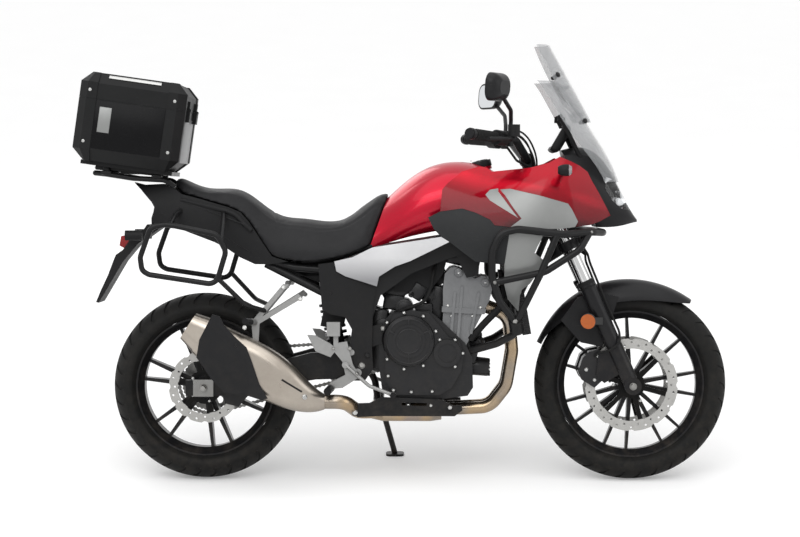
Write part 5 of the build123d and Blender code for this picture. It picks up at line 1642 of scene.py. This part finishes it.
@dataclass
class Fasteners:
    """All the bolts and nuts that show."""

    groups: tuple[Bolts, ...] = (
        Bolts("cover_bolts", ("engine_covers",),
              (*bolt_circle(692, 478, 96, (20, 60, 100, 140, 220, 260, 300), 5.0),
               *bolt_circle(821, 437, 52, (-60, 0, 60, 120), 5.0),
               (640, 312, 5.0), (700, 306, 5.0), (770, 308, 5.0), (622, 360, 5.0)), BRIGHT_STEEL),
        Bolts("head_bolts", ("cylinder_and_head",),
              ((822, 596, 5), (932, 590, 5), (834, 560, 4), (905, 560, 4), (858, 707, 6), (948, 674, 6)),
              BRIGHT_STEEL),
        Bolts("guard_bolts", ("engine_guard",), ((830, 256, 7), (512, 238, 9), (766, 262, 5), (690, 262, 5)),
              BRIGHT_STEEL),
        Bolts("hanger_bolts", ("footpegs",), ((494, 454, 7), (520, 371, 7), (440, 454, 6), (446, 393, 6))),
        Bolts("passenger_hanger_bolts", ("footpegs", "subframe"),
              ((271, 658, 8), (328, 619, 8), (149, 527, 8)), BRIGHT_STEEL),
        Bolts("silencer_bolt", ("silencer",), ((347, 297, 9),), BRIGHT_STEEL, sides=(RIGHT,)),
        Bolts("heat_shield_bolts", ("silencer_heat_shield",), ((120, 470, 5), (226, 330, 5)), FRAME_BLACK,
              sides=(RIGHT,)),
        Bolts("front_axle_nuts", ("front_axle",), ((1445, 326, 11),), body=Body.FORK),
        Bolts("rear_axle_nuts", ("swingarm_shafts",), ((0, 316, 13), (534, 396, 12))),
        Bolts("front_disc_bolts", ("front_discs",), bolt_circle(1445, 326, 62, tuple(range(0, 360, 60)), 5),
              BRIGHT_STEEL, Body.FRONT_WHEEL),
        Bolts("rear_disc_bolts", ("rear_disc",), bolt_circle(0, 316, 50, tuple(range(0, 360, 72)), 5),
              BRIGHT_STEEL, Body.REAR_WHEEL, (RIGHT,)),
        Bolts("caliper_bolts", ("front_calipers",), ((1290, 380, 7), (1330, 425, 6), (1318, 345, 6)),
              BRIGHT_STEEL, Body.FORK),
        Bolts("pivot_cover_bolts", ("pivot_covers",), ((430, 640, 4), (552, 430, 9)), FRAME_BLACK),
        Bolts("crash_bar_bolts", ("crash_bars",), ((1044, 550, 9), (1296, 846, 5), (975, 680, 6))),
        Bolts("frame_bolts", ("main_frame",), ((640, 742, 6), (905, 800, 6), (604, 520, 8))),
    )

    def build(self) -> None:
        """Makes the bolts of each part of the machine."""
        for group in self.groups:
            group.build()


@dataclass
class CockpitParts:
    """What the rider sees: mirror glasses, the display, cables and the ribs of the grips."""

    mirror_centre: Point = (972, -375, 1318)
    mirror_normal: Point = (-1, 0.55, 0.08)
    mirror_across: Point = (0.55, 1, 0)
    mirror_rise: float = 6.2
    mirror_plate: tuple[float, ...] = (114.0, 80.0, 1.6, 28.0)
    display_centre: Point = (1196, 0, 1162)
    display_normal: Point = (-0.86, 0, 0.5)
    display_rise: float = 6.3
    display_plate: tuple[float, ...] = (142.0, 80.0, 1.4, 10.0)
    cable_radius: float = 3.2
    brake_wire: tuple[Point, ...] = (
        (1003, -262, 1172), (1044, -226, 1186), (1084, -168, 1166), (1112, -118, 1120), (1124, -70, 1074),
        (1120, -30, 1030), (1110, -24, 1006))
    throttle_cable: tuple[Point, ...] = (
        (1003, -256, 1166), (1046, -214, 1174), (1084, -156, 1146), (1104, -108, 1100), (1114, -60, 1056),
        (1110, -16, 1022), (1104, -12, 1004))
    grip_outer: Point = (901, 398, 1165)
    grip_inner: Point = (1046, 190, 1150)
    ribs_each: int = 13
    first_rib: float = 14.0
    rib_pitch: float = 8.4
    rib_radius: float = 17.2
    rib_tube: float = 1.3

    def build(self) -> None:
        """Makes the parts."""
        self.mirrors()
        self.display()
        self.cables()
        self.ribs()

    def facing(self, centre: Point, normal: Vector, across: Vector, rise: float) -> Matrix:
        """The place of a plate that lies off a surface.

        Args:
            centre: The middle of the surface.
            normal: The direction out of it.
            across: The plate's width direction.
            rise: How far off the surface the plate's middle lies.

        Returns:
            Its matrix, with the normal along z.
        """
        turn = Matrix((across, normal.cross(across), normal)).transposed().to_4x4()
        return Matrix.Translation(Vector(centre) + normal * rise) @ turn

    def mirrors(self) -> None:
        """Lays a glass on each mirror's rear face."""
        shape = Shape()
        right = self.facing(self.mirror_centre, Vector(self.mirror_normal).normalized(),
                            Vector(self.mirror_across).normalized(), self.mirror_rise)
        for place in (right, Matrix.Scale(-1, 4, (0, 1, 0)) @ right):
            shape.plate(place, *self.mirror_plate)
        shape.finish("mirror_glasses", Body.FORK, MIRROR, "chrome")

    def display(self) -> None:
        """Lays the display's glass on the instrument."""
        shape = Shape()
        place = self.facing(self.display_centre, Vector(self.display_normal).normalized(), Vector((0, 1, 0)),
                            self.display_rise)
        shape.plate(place, *self.display_plate)
        shape.finish("display_glass", Body.CHASSIS, DISPLAY, "lamp_glass")

    def cables(self) -> None:
        """Runs the cables to the upper fork clamp: two from the right of the bar and one from the left."""
        right = [Hose(line, self.cable_radius) for line in (self.brake_wire, self.throttle_cable)]
        Fitting("control_cables", RUBBER, "rubber", (*right, right[0].across()), Body.FORK).build()

    def ribs(self) -> None:
        """Rings the grips with ribs."""
        outer = Vector(self.grip_outer)
        along = (Vector(self.grip_inner) - outer).normalized()
        rings = [Ring(tuple(outer + along * (self.first_rib + self.rib_pitch * step)), tuple(along),
                      self.rib_radius, self.rib_tube, 28, 6) for step in range(self.ribs_each)]
        mirror_images = [ring.across() for ring in rings]
        Fitting("grip_ribs", RUBBER, "rubber", (*mirror_images, *rings), Body.FORK).build()


@dataclass
class LuggageCase:
    """The plates, strips, labels and screws of the top case, in the case's own directions."""

    origin: Point = (-86, 0, 1032)
    pitch: float = 8.0
    pieces: tuple[Fitting, ...] = (
        Fitting("case_side_panels", CASE_BLACK, "case_black",
                both_sides(Block((-176, -200.5, 130), (232, 1.4, 160), bevel=0.4))),
        Fitting("case_end_plates", CASE_SIDE, "alloy",
                (Block((0.5, 0, 116), (1.0, 270, 150), bevel=0.4),
                 Block((-352.5, 0, 116), (1.0, 270, 150), bevel=0.4))),
        Fitting("case_roof_panel", CASE_BLACK, "case_black",
                (Block((-176, 0, 302.4), (276, 324, 1.0), bevel=0.4),), Body.LID),
        Fitting("case_strips", BRIGHT_STEEL, "alloy",
                both_sides(Block((-176, -176, 292.5), (176, 14, 2.4), (45, 0, 0), 0.8)), Body.LID),
        Fitting("case_plain_labels", SATIN_SILVER, "silver_paint",
                both_sides(Block((-258, -201.4, 148), (40, 0.7, 84), bevel=0.2))),
        Fitting("case_screws", BRIGHT_STEEL, "steel",
                both_sides(Bolt((-34, -203, 70), (0, -1, 0), 5.5, 3.0),
                           Bolt((-318, -203, 70), (0, -1, 0), 5.5, 3.0))),
        Fitting("lid_screws", BRIGHT_STEEL, "steel",
                both_sides(Bolt((-34, -203, 242), (0, -1, 0), 5.5, 3.0),
                           Bolt((-318, -203, 242), (0, -1, 0), 5.5, 3.0)), Body.LID),
    )

    def build(self) -> None:
        """Makes the parts and pitches them with the case."""
        pitch = Matrix.Rotation(math.radians(self.pitch), 4, "Y")
        for piece in self.pieces:
            piece.build(Matrix.Translation(self.origin) @ pitch)


@dataclass
class LampParts:
    """The bowls and the housing inside the headlamp's glass."""

    bowls: Fitting = Fitting("lamp_bowls", CHROME, "chrome", both_sides(
        Disc((1380, -34, 972), (0.9, 0, 0.2), 14, 24, 28, 24),
        Disc((1386, -34, 974), (0.9, 0, 0.2), 5, 26, 16)))
    housing: Fitting = Fitting("lamp_housing", PLASTIC_BLACK, "black_plastic", (
        Block((1362, 0, 980), (10, 120, 50), (0, -24, 0), 3.0),))

    def build(self) -> None:
        """Makes the two bowls and the dark housing round them."""
        self.bowls.build()
        self.housing.build()


@dataclass
class EngineHoses:
    """The breather hose and the coolant hose beside the engine."""

    hoses: Fitting = Fitting("engine_hoses", RUBBER, "rubber", (
        Hose(((784, -84, 742), (774, -110, 716), (766, -120, 650), (742, -122, 606), (700, -120, 592),
              (654, -112, 574), (640, -96, 560)), 6.0),
        Hose(((1052, -96, 640), (1010, -112, 600), (968, -116, 560), (930, -110, 520), (900, -100, 480)),
             12.0, 14)))

    def build(self) -> None:
        """Makes the hoses."""
        self.hoses.build()


@dataclass(frozen=True)
class SkinLine:
    """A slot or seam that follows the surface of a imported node, as a thin smooth tube."""

    name: str
    node: str
    line: Line
    radius: float
    look: Finish
    sides: tuple[float, ...] = BOTH

    def build(self) -> None:
        """Makes the line on each of its sides."""
        skin, shape = Skin(self.node), Shape()
        for side in self.sides:
            found = [skin.from_side(x, z, side) for x, z in self.line]
            shape.tube(tuple(tuple(hit[0]) for hit in found if hit), self.radius)
        shape.finish(self.name, Body.CHASSIS, self.look)


@dataclass
class SkinLines:
    """The silencer's slot and the seams of the tail."""

    lines: tuple[SkinLine, ...] = (
        SkinLine("silencer_slot", "silencer", ((272, 356), (304, 336), (338, 315)), 3.4, SATIN_BLACK,
                 (RIGHT,)),
        SkinLine("tail_seams", "tail_cowl", ((-60, 940), (40, 905), (140, 868), (230, 790)), 2.0,
                 FRAME_BLACK),
        SkinLine("tail_lower_seams", "tail_cowl", ((-150, 905), (-60, 880), (60, 835), (160, 775)), 1.6,
                 FRAME_BLACK),
    )

    def build(self) -> None:
        """Makes the lines."""
        for line in self.lines:
            line.build()


@dataclass
class EngineBay:
    """The dark pieces that fill the space round the engine: intake, starter, housings and guards."""

    intake: Fitting = Fitting("throttle_bodies", ENGINE_BLACK, "engine_black", (
        *both_sides(Disc((748, -46, 636), (0.62, 0, -0.40), 27, 120, 28, bevel=2.0),
                    Ring((719.44, -46, 654.36), (0.84, 0, -0.54), 28, 3.0, 32, 6),
                    Ring((776.56, -46, 617.64), (0.84, 0, -0.54), 28, 3.0, 32, 6)),
        Block((744, 0, 668), (24, 150, 22), (0, 32, 0), 3.0),
        Block((722, -78, 640), (46, 34, 52), (0, 32, 0), 5.0),
        Disc((700, 0, 632), (0, 1, 0), 11, 190, 20, bevel=1.5),
        Block((872, 0, 748), (120, 150, 44), (0, 14, 0), 8.0),
        *both_sides(Disc((872, -40, 772), (0.25, 0, 1), 17, 34, 24, bevel=3.0))))
    starter: Fitting = Fitting("starter_motor", ENGINE_BLACK, "engine_black", (
        Disc((676, -10, 586), (0, 1, 0), 30, 150, 32, bevel=3.0),
        Disc((676, -88, 586), (0, 1, 0), 22, 10, 28, bevel=2.0),
        Block((640, 0, 604), (70, 168, 52), (0, 10, 0), 8.0),
        Block((742, -60, 582), (60, 60, 40), bevel=8.0),
        Block((662, 0, 652), (130, 150, 60), (0, -30, 0), 10.0),
        Block((786, 0, 600), (50, 150, 120), (0, 8, 0), 8.0)))
    rear_housing: Fitting = Fitting("gearbox_housing", ENGINE_BLACK, "engine_black", (
        Block((592, 0, 476), (60, 196, 214), bevel=14.0),
        Block((560, 0, 560), (60, 120, 70), (0, 20, 0), 10.0),
        Disc((604, -96, 520), (0, 1, 0), 30, 16, 28, bevel=2.0)))
    splash_guard: Fitting = Fitting("splash_guard", PLASTIC_BLACK, "black_plastic", (
        Block((470, 0, 640), (10, 176, 210), (0, 12, 0), 3.0),
        *both_sides(Block((448, -92, 610), (74, 5, 190), (0, 12, 0), 2.0)),
        Block((360, 0, 700), (220, 190, 8), (0, 16, 0), 3.0),
        *both_sides(Block((402, -98, 712), (196, 4, 84), (0, 22, 0), 2.0))))
    fan: Fitting = Fitting("radiator_fan", PLASTIC_BLACK, "black_plastic", (
        Block((1030, 0, 628), (12, 250, 190), (0, -10, 0), 4.0),
        Disc((1018, 0, 630), (0.985, 0, 0.17), 88, 22, 48, 80, 2.0),
        Disc((1004, 0, 632), (0.985, 0, 0.17), 30, 22, 32, 26, 2.0),
        *blocks_round((1006, 0, 632), 52, 6, Block((0, 0, 0), (5, 78, 10), bevel=1.5), 12)))
    oil_filter: Fitting = Fitting("oil_filter", ENGINE_BLACK, "engine_black", (
        Disc((925, -36, 386), (1, 0, -0.1), 33, 78, 36, 31, 4.0),
        *blocks_round((962, -36, 382), 27, 12, Block((0, 0, 0), (10, 5, 5))),
        Block((900, 0, 456), (60, 170, 110), (0, 14, 0), 10.0),
        Disc((922, -86, 470), (0.7, -0.5, 0.2), 16, 46, 24, 14, 2.0),
        Ring((934, -96, 474), (0.7, -0.5, 0.2), 16, 2.4, 28, 6)))
    clutch_cover: Range = (692, 478)
    cover_rings: tuple[Point, ...] = ((692, 478, 74), (692, 478, 40), (821, 437, 34))
    cover_ribs: tuple[float, ...] = (28.0, 90.0, 152.0, 270.0)
    rib_radius: float = 57.0
    rib: Point = (32, 3.0, 5)
    head_plugs: tuple[Point, ...] = ((858, 707, 15), (948, 674, 14))

    def build(self) -> None:
        """Makes the pieces."""
        for part in (self.intake, self.starter, self.rear_housing, self.splash_guard, self.fan,
                     self.oil_filter):
            part.build()
        self.dress_cover()
        self.plug_head()

    def dress_cover(self) -> None:
        """Rings and ribs on the engine's right covers, set on their surface."""
        shape, skin = Shape(), Skin("engine_covers")
        for x, z, radius in self.cover_rings:
            y = skin.from_side(x, z)[0].y
            shape.ring((x, y - 0.4, z), (0, 1, 0), radius, 1.8, 56, 6)
        x, z = self.clutch_cover
        y = skin.from_side(x, z)[0].y
        for turn in self.cover_ribs:
            angle = math.radians(turn)
            place = (x + self.rib_radius * math.cos(angle), y - 0.8, z + self.rib_radius * math.sin(angle))
            shape.block(place, self.rib, (0, -turn, 0), 1.0)
        shape.finish("cover_rings", Body.CHASSIS, ENGINE_BLACK, "engine_black")

    def plug_head(self) -> None:
        """Round plugs on both sides of the cylinder head, set on its surface."""
        shape, skin = Shape(), Skin("cylinder_and_head")
        for side in BOTH:
            for x, z, radius in self.head_plugs:
                found = skin.from_side(x, z, side)
                if found:
                    y = found[0].y
                    shape.disc((x, y + side * 2.0, z), (0, side, 0), radius, 5, 28, radius * 0.92, 0.8)
                    shape.ring((x, y + side * 4.4, z), (0, 1, 0), radius * 0.62, 1.2, 28, 6)
        shape.finish("head_plugs", Body.CHASSIS, ENGINE_GREY, "engine_grey")


@dataclass
class Trim:
    """Small covers and clamps: the filler cap, the case's clamps, screen clamps, fork seals and seat pan."""

    cap_centre: Point = (938, 0, 1050)
    cap_up: Point = (-7, 0, 30)
    cap_screws: int = 6
    cap_screw_circle: float = 34.0
    clamps: Fitting = Fitting("case_clamps", FRAME_BLACK, "frame_black", (
        Block((-256, 0, 1047), (232, 150, 8), (0, 6, 0), 2.0),
        *both_sides(Block((-262, -78, 1050), (214, 10, 20), (0, 6, 0), 3.0),
                    Disc((-330, -84, 1052), (0, 0, 1), 13, 30, 20, bevel=2.0),
                    Block((-330, -90, 1040), (34, 26, 14), (0, 4, 0), 3.0),
                    Disc((-160, -84, 1040), (0, 0, 1), 13, 30, 20, bevel=2.0),
                    Block((-160, -90, 1028), (34, 26, 14), (0, 4, 0), 3.0))))
    screen_places: tuple[Point, ...] = ((1190, 1372, 10), (1284, 1218, 10))
    steering_angle: float = 24.5
    fork_foot: Range = (1445, 326)
    fork_y: float = 105.0
    seal_rings: tuple[Point, ...] = ((672, 29.5, 12), (658, 28.6, 5))
    seat_pan: Fitting = Fitting("seat_pan", PLASTIC_BLACK, "black_plastic", both_sides(
        Hose(((330, -104, 742), (421, -106, 748), (500, -108, 772), (568, -108, 796)), 9.0)))

    def build(self) -> None:
        """Makes the pieces."""
        self.filler_cap()
        self.clamps.build()
        self.screen_clamps()
        self.fork_seals()
        self.seat_pan.build()

    def filler_cap(self) -> None:
        """A black collar with a ring of screws and a lock cover."""
        shape, screws = Shape(), Shape()
        up, middle = Vector(self.cap_up).normalized(), Vector(self.cap_centre)
        shape.disc(tuple(middle + up * 22), tuple(up), 38.5, 22, 48, 37.5, 1.5)
        shape.disc(tuple(middle + up * 33), tuple(up), 30, 5, 48, 26, 1.2)
        shape.block(tuple(middle + up * 36 + Vector((4, 0, 0))), (30, 16, 3), (0, -13, 0), 1.2)
        for step in range(self.cap_screws):
            angle = math.radians(360 / self.cap_screws * step + 30)
            side = Vector((math.cos(angle), math.sin(angle), 0)) * self.cap_screw_circle
            screws.bolt(tuple(middle + up * 33 + side), tuple(up), 2.6, 1.6)
        shape.finish("filler_cap", Body.CHASSIS, SATIN_BLACK, "black_plastic")
        screws.finish("filler_cap_screws", Body.CHASSIS, STEEL, "steel")

    def screen_clamps(self) -> None:
        """Round clamps where the two panes of the screen are joined."""
        shape, skin = Shape(), Skin("windscreen")
        for x, z, radius in self.screen_places:
            for side in BOTH:
                found = skin.from_side(x, z, side)
                if found:
                    at, out = found
                    shape.disc(tuple(at + out * 2.5), tuple(out), radius, 5, 24, radius * 0.8, 0.8)
                    shape.disc(tuple(at - out * 7.0), tuple(out), radius * 0.7, 9, 24)
        shape.finish("screen_clamps", Body.CHASSIS, FRAME_BLACK, "frame_black")

    def fork_seals(self) -> None:
        """Dust seals at the tops of the sliders."""
        lean = math.tan(math.radians(self.steering_angle))
        foot_x, foot_z = self.fork_foot
        seals = []
        for z, radius, height in self.seal_rings:
            centre = (foot_x - (z - foot_z) * lean, -self.fork_y, z)
            seals.append(Disc(centre, (-lean, 0, 1), radius, height, 40, bevel=1.5))
        Fitting("fork_seals", RUBBER, "rubber", both_sides(*seals), Body.FORK).build()


# ---------------------------------------------------------------- light and camera
@dataclass(frozen=True)
class SoftLamp:
    """A soft rectangular lamp, in metres and watts."""

    name: str
    place: Point
    size: Range
    power: float
    aim: Point = (0, 0, 0.7)

    def build(self) -> None:
        """Adds the lamp."""
        light = bpy.data.lights.new(self.name, "AREA")
        light.shape, (light.size, light.size_y), light.energy = "RECTANGLE", self.size, self.power
        made = add_object(self.name, light)
        made.location = self.place
        made.rotation_euler = (Vector(self.aim) - Vector(self.place)).to_track_quat("-Z", "Y").to_euler()


@dataclass
class Stage:
    """The pale floor, the white surroundings, the soft light and the camera."""

    floor_size: float = 30.0
    floor_tones: tuple[Colour, Colour] = ((0.80, 0.80, 0.80), (0.82, 0.82, 0.82))
    floor_glow: float = 0.24
    world_light: float = 0.45
    world_seen: float = 0.55
    sky_strength: float = 1.55
    sky_spread: float = 80.0
    sky_tilt: Range = (14.0, -8.0)
    lamps: tuple[SoftLamp, ...] = (
        SoftLamp("key", (-1.4, -4.6, 4.2), (5.0, 3.0), 105.0),
        SoftLamp("front", (4.6, -2.2, 2.6), (3.0, 3.0), 35.0),
        SoftLamp("back", (-2.5, 4.4, 3.0), (3.5, 2.5), 45.0),
    )
    camera: Point = (745.6, -7500.0, 985.0)
    aim: Point = (660.0, 0.0, 716.0)
    lens: float = 98.9
    sensor: float = 36.0
    sight: float = 200.0

    def seen(self, graph: Graph) -> bpy.types.NodeSocket:
        """1 for rays from the camera, through glass or off a shiny surface, and 0 for the light itself."""
        rays = graph.add("LightPath")
        direct = graph.math("MAXIMUM", rays.outputs["Is Camera Ray"], rays.outputs["Is Transmission Ray"])
        return graph.math("MAXIMUM", direct, rays.outputs["Is Glossy Ray"])

    def floor(self) -> None:
        """Makes the floor, which keeps the machine's shadow."""
        bm = bmesh.new()
        bmesh.ops.create_grid(bm, x_segments=1, y_segments=1, size=self.floor_size)
        mesh = settled_mesh("floor", bm)
        add_object("floor", mesh)
        material = bpy.data.materials.new("pale_floor")
        material.use_nodes = True
        material.node_tree.nodes.clear()
        graph = Graph(material.node_tree)
        where = graph.add("TexCoord").outputs["Object"]
        surface = graph.add("BsdfPrincipled")
        tone = graph.spread(graph.noise(where, 2.0, detail=4.0), (0.3, 0.7), 0.0, 1.0)
        graph.feed(surface.inputs["Base Color"], graph.blend(tone, *self.floor_tones))
        surface.inputs["Roughness"].default_value = 0.9
        surface.inputs["Specular IOR Level"].default_value = 0.0
        glow = graph.add("Emission")
        glow.inputs["Color"].default_value = (1, 1, 1, 1)
        graph.feed(glow.inputs["Strength"], graph.math("MULTIPLY", self.seen(graph), self.floor_glow))
        both = graph.add("AddShader")
        graph.feed(both.inputs[0], surface.outputs[0])
        graph.feed(both.inputs[1], glow.outputs[0])
        graph.feed(graph.add("OutputMaterial").inputs["Surface"], both.outputs[0])
        mesh.materials.append(material)

    def world(self) -> None:
        """Makes the white surroundings, which light the machine less than they show."""
        world = bpy.data.worlds.new("studio")
        bpy.context.scene.world = world
        world.use_nodes = True
        world.node_tree.nodes.clear()
        graph = Graph(world.node_tree)
        seen = self.seen(graph)
        back = graph.add("Background")
        back.inputs["Color"].default_value = (1, 1, 1, 1)
        strength = graph.math("ADD", graph.math("MULTIPLY", seen, self.world_seen), self.world_light)
        graph.feed(back.inputs["Strength"], strength)
        graph.feed(graph.add("OutputWorld").inputs["Surface"], back.outputs[0])

    def sky(self) -> None:
        """Adds the even light from above, which reaches the whole floor alike."""
        light = bpy.data.lights.new("sky", "SUN")
        light.energy, light.angle = self.sky_strength, math.radians(self.sky_spread)
        add_object("sky", light).rotation_euler = (*map(math.radians, self.sky_tilt), 0)

    def shoot(self) -> None:
        """Places the camera at the side, square to the machine."""
        camera = bpy.data.cameras.new("camera")
        camera.lens, camera.sensor_width, camera.clip_end = self.lens, self.sensor, self.sight
        made = add_object("camera", camera)
        made.location = place = STANCE @ Vector(self.camera)
        made.rotation_euler = (STANCE @ Vector(self.aim) - place).to_track_quat("-Z", "Y").to_euler()
        bpy.context.scene.camera = made

    def build(self) -> None:
        """Makes the whole stage."""
        self.floor()
        self.world()
        self.sky()
        for lamp in self.lamps:
            lamp.build()
        self.shoot()
        bpy.context.scene.view_settings.view_transform = "Standard"


def main() -> None:
    """Builds the pieces in order and reports them."""
    logging.basicConfig(level=logging.INFO, format="%(name)s: %(message)s")
    Stage().build()
    Paintwork().build()
    Tyre("front_tyre", Body.FRONT_WHEEL, (1445.0, 0.0, 326.0), 326.0, 110.0, 62.0, 250.6, 37.0).build()
    Tyre("rear_tyre", Body.REAR_WHEEL, (0.0, 0.0, 316.0), 316.0, 156.0, 88.0, 236.6, 59.0, slant=0.13).build()
    for part in (Seat, DriveChain, Fasteners, CockpitParts, LuggageCase, LampParts, EngineHoses, SkinLines,
                 EngineBay, Trim):
        part().build()


if __name__ == "__main__":
    main()
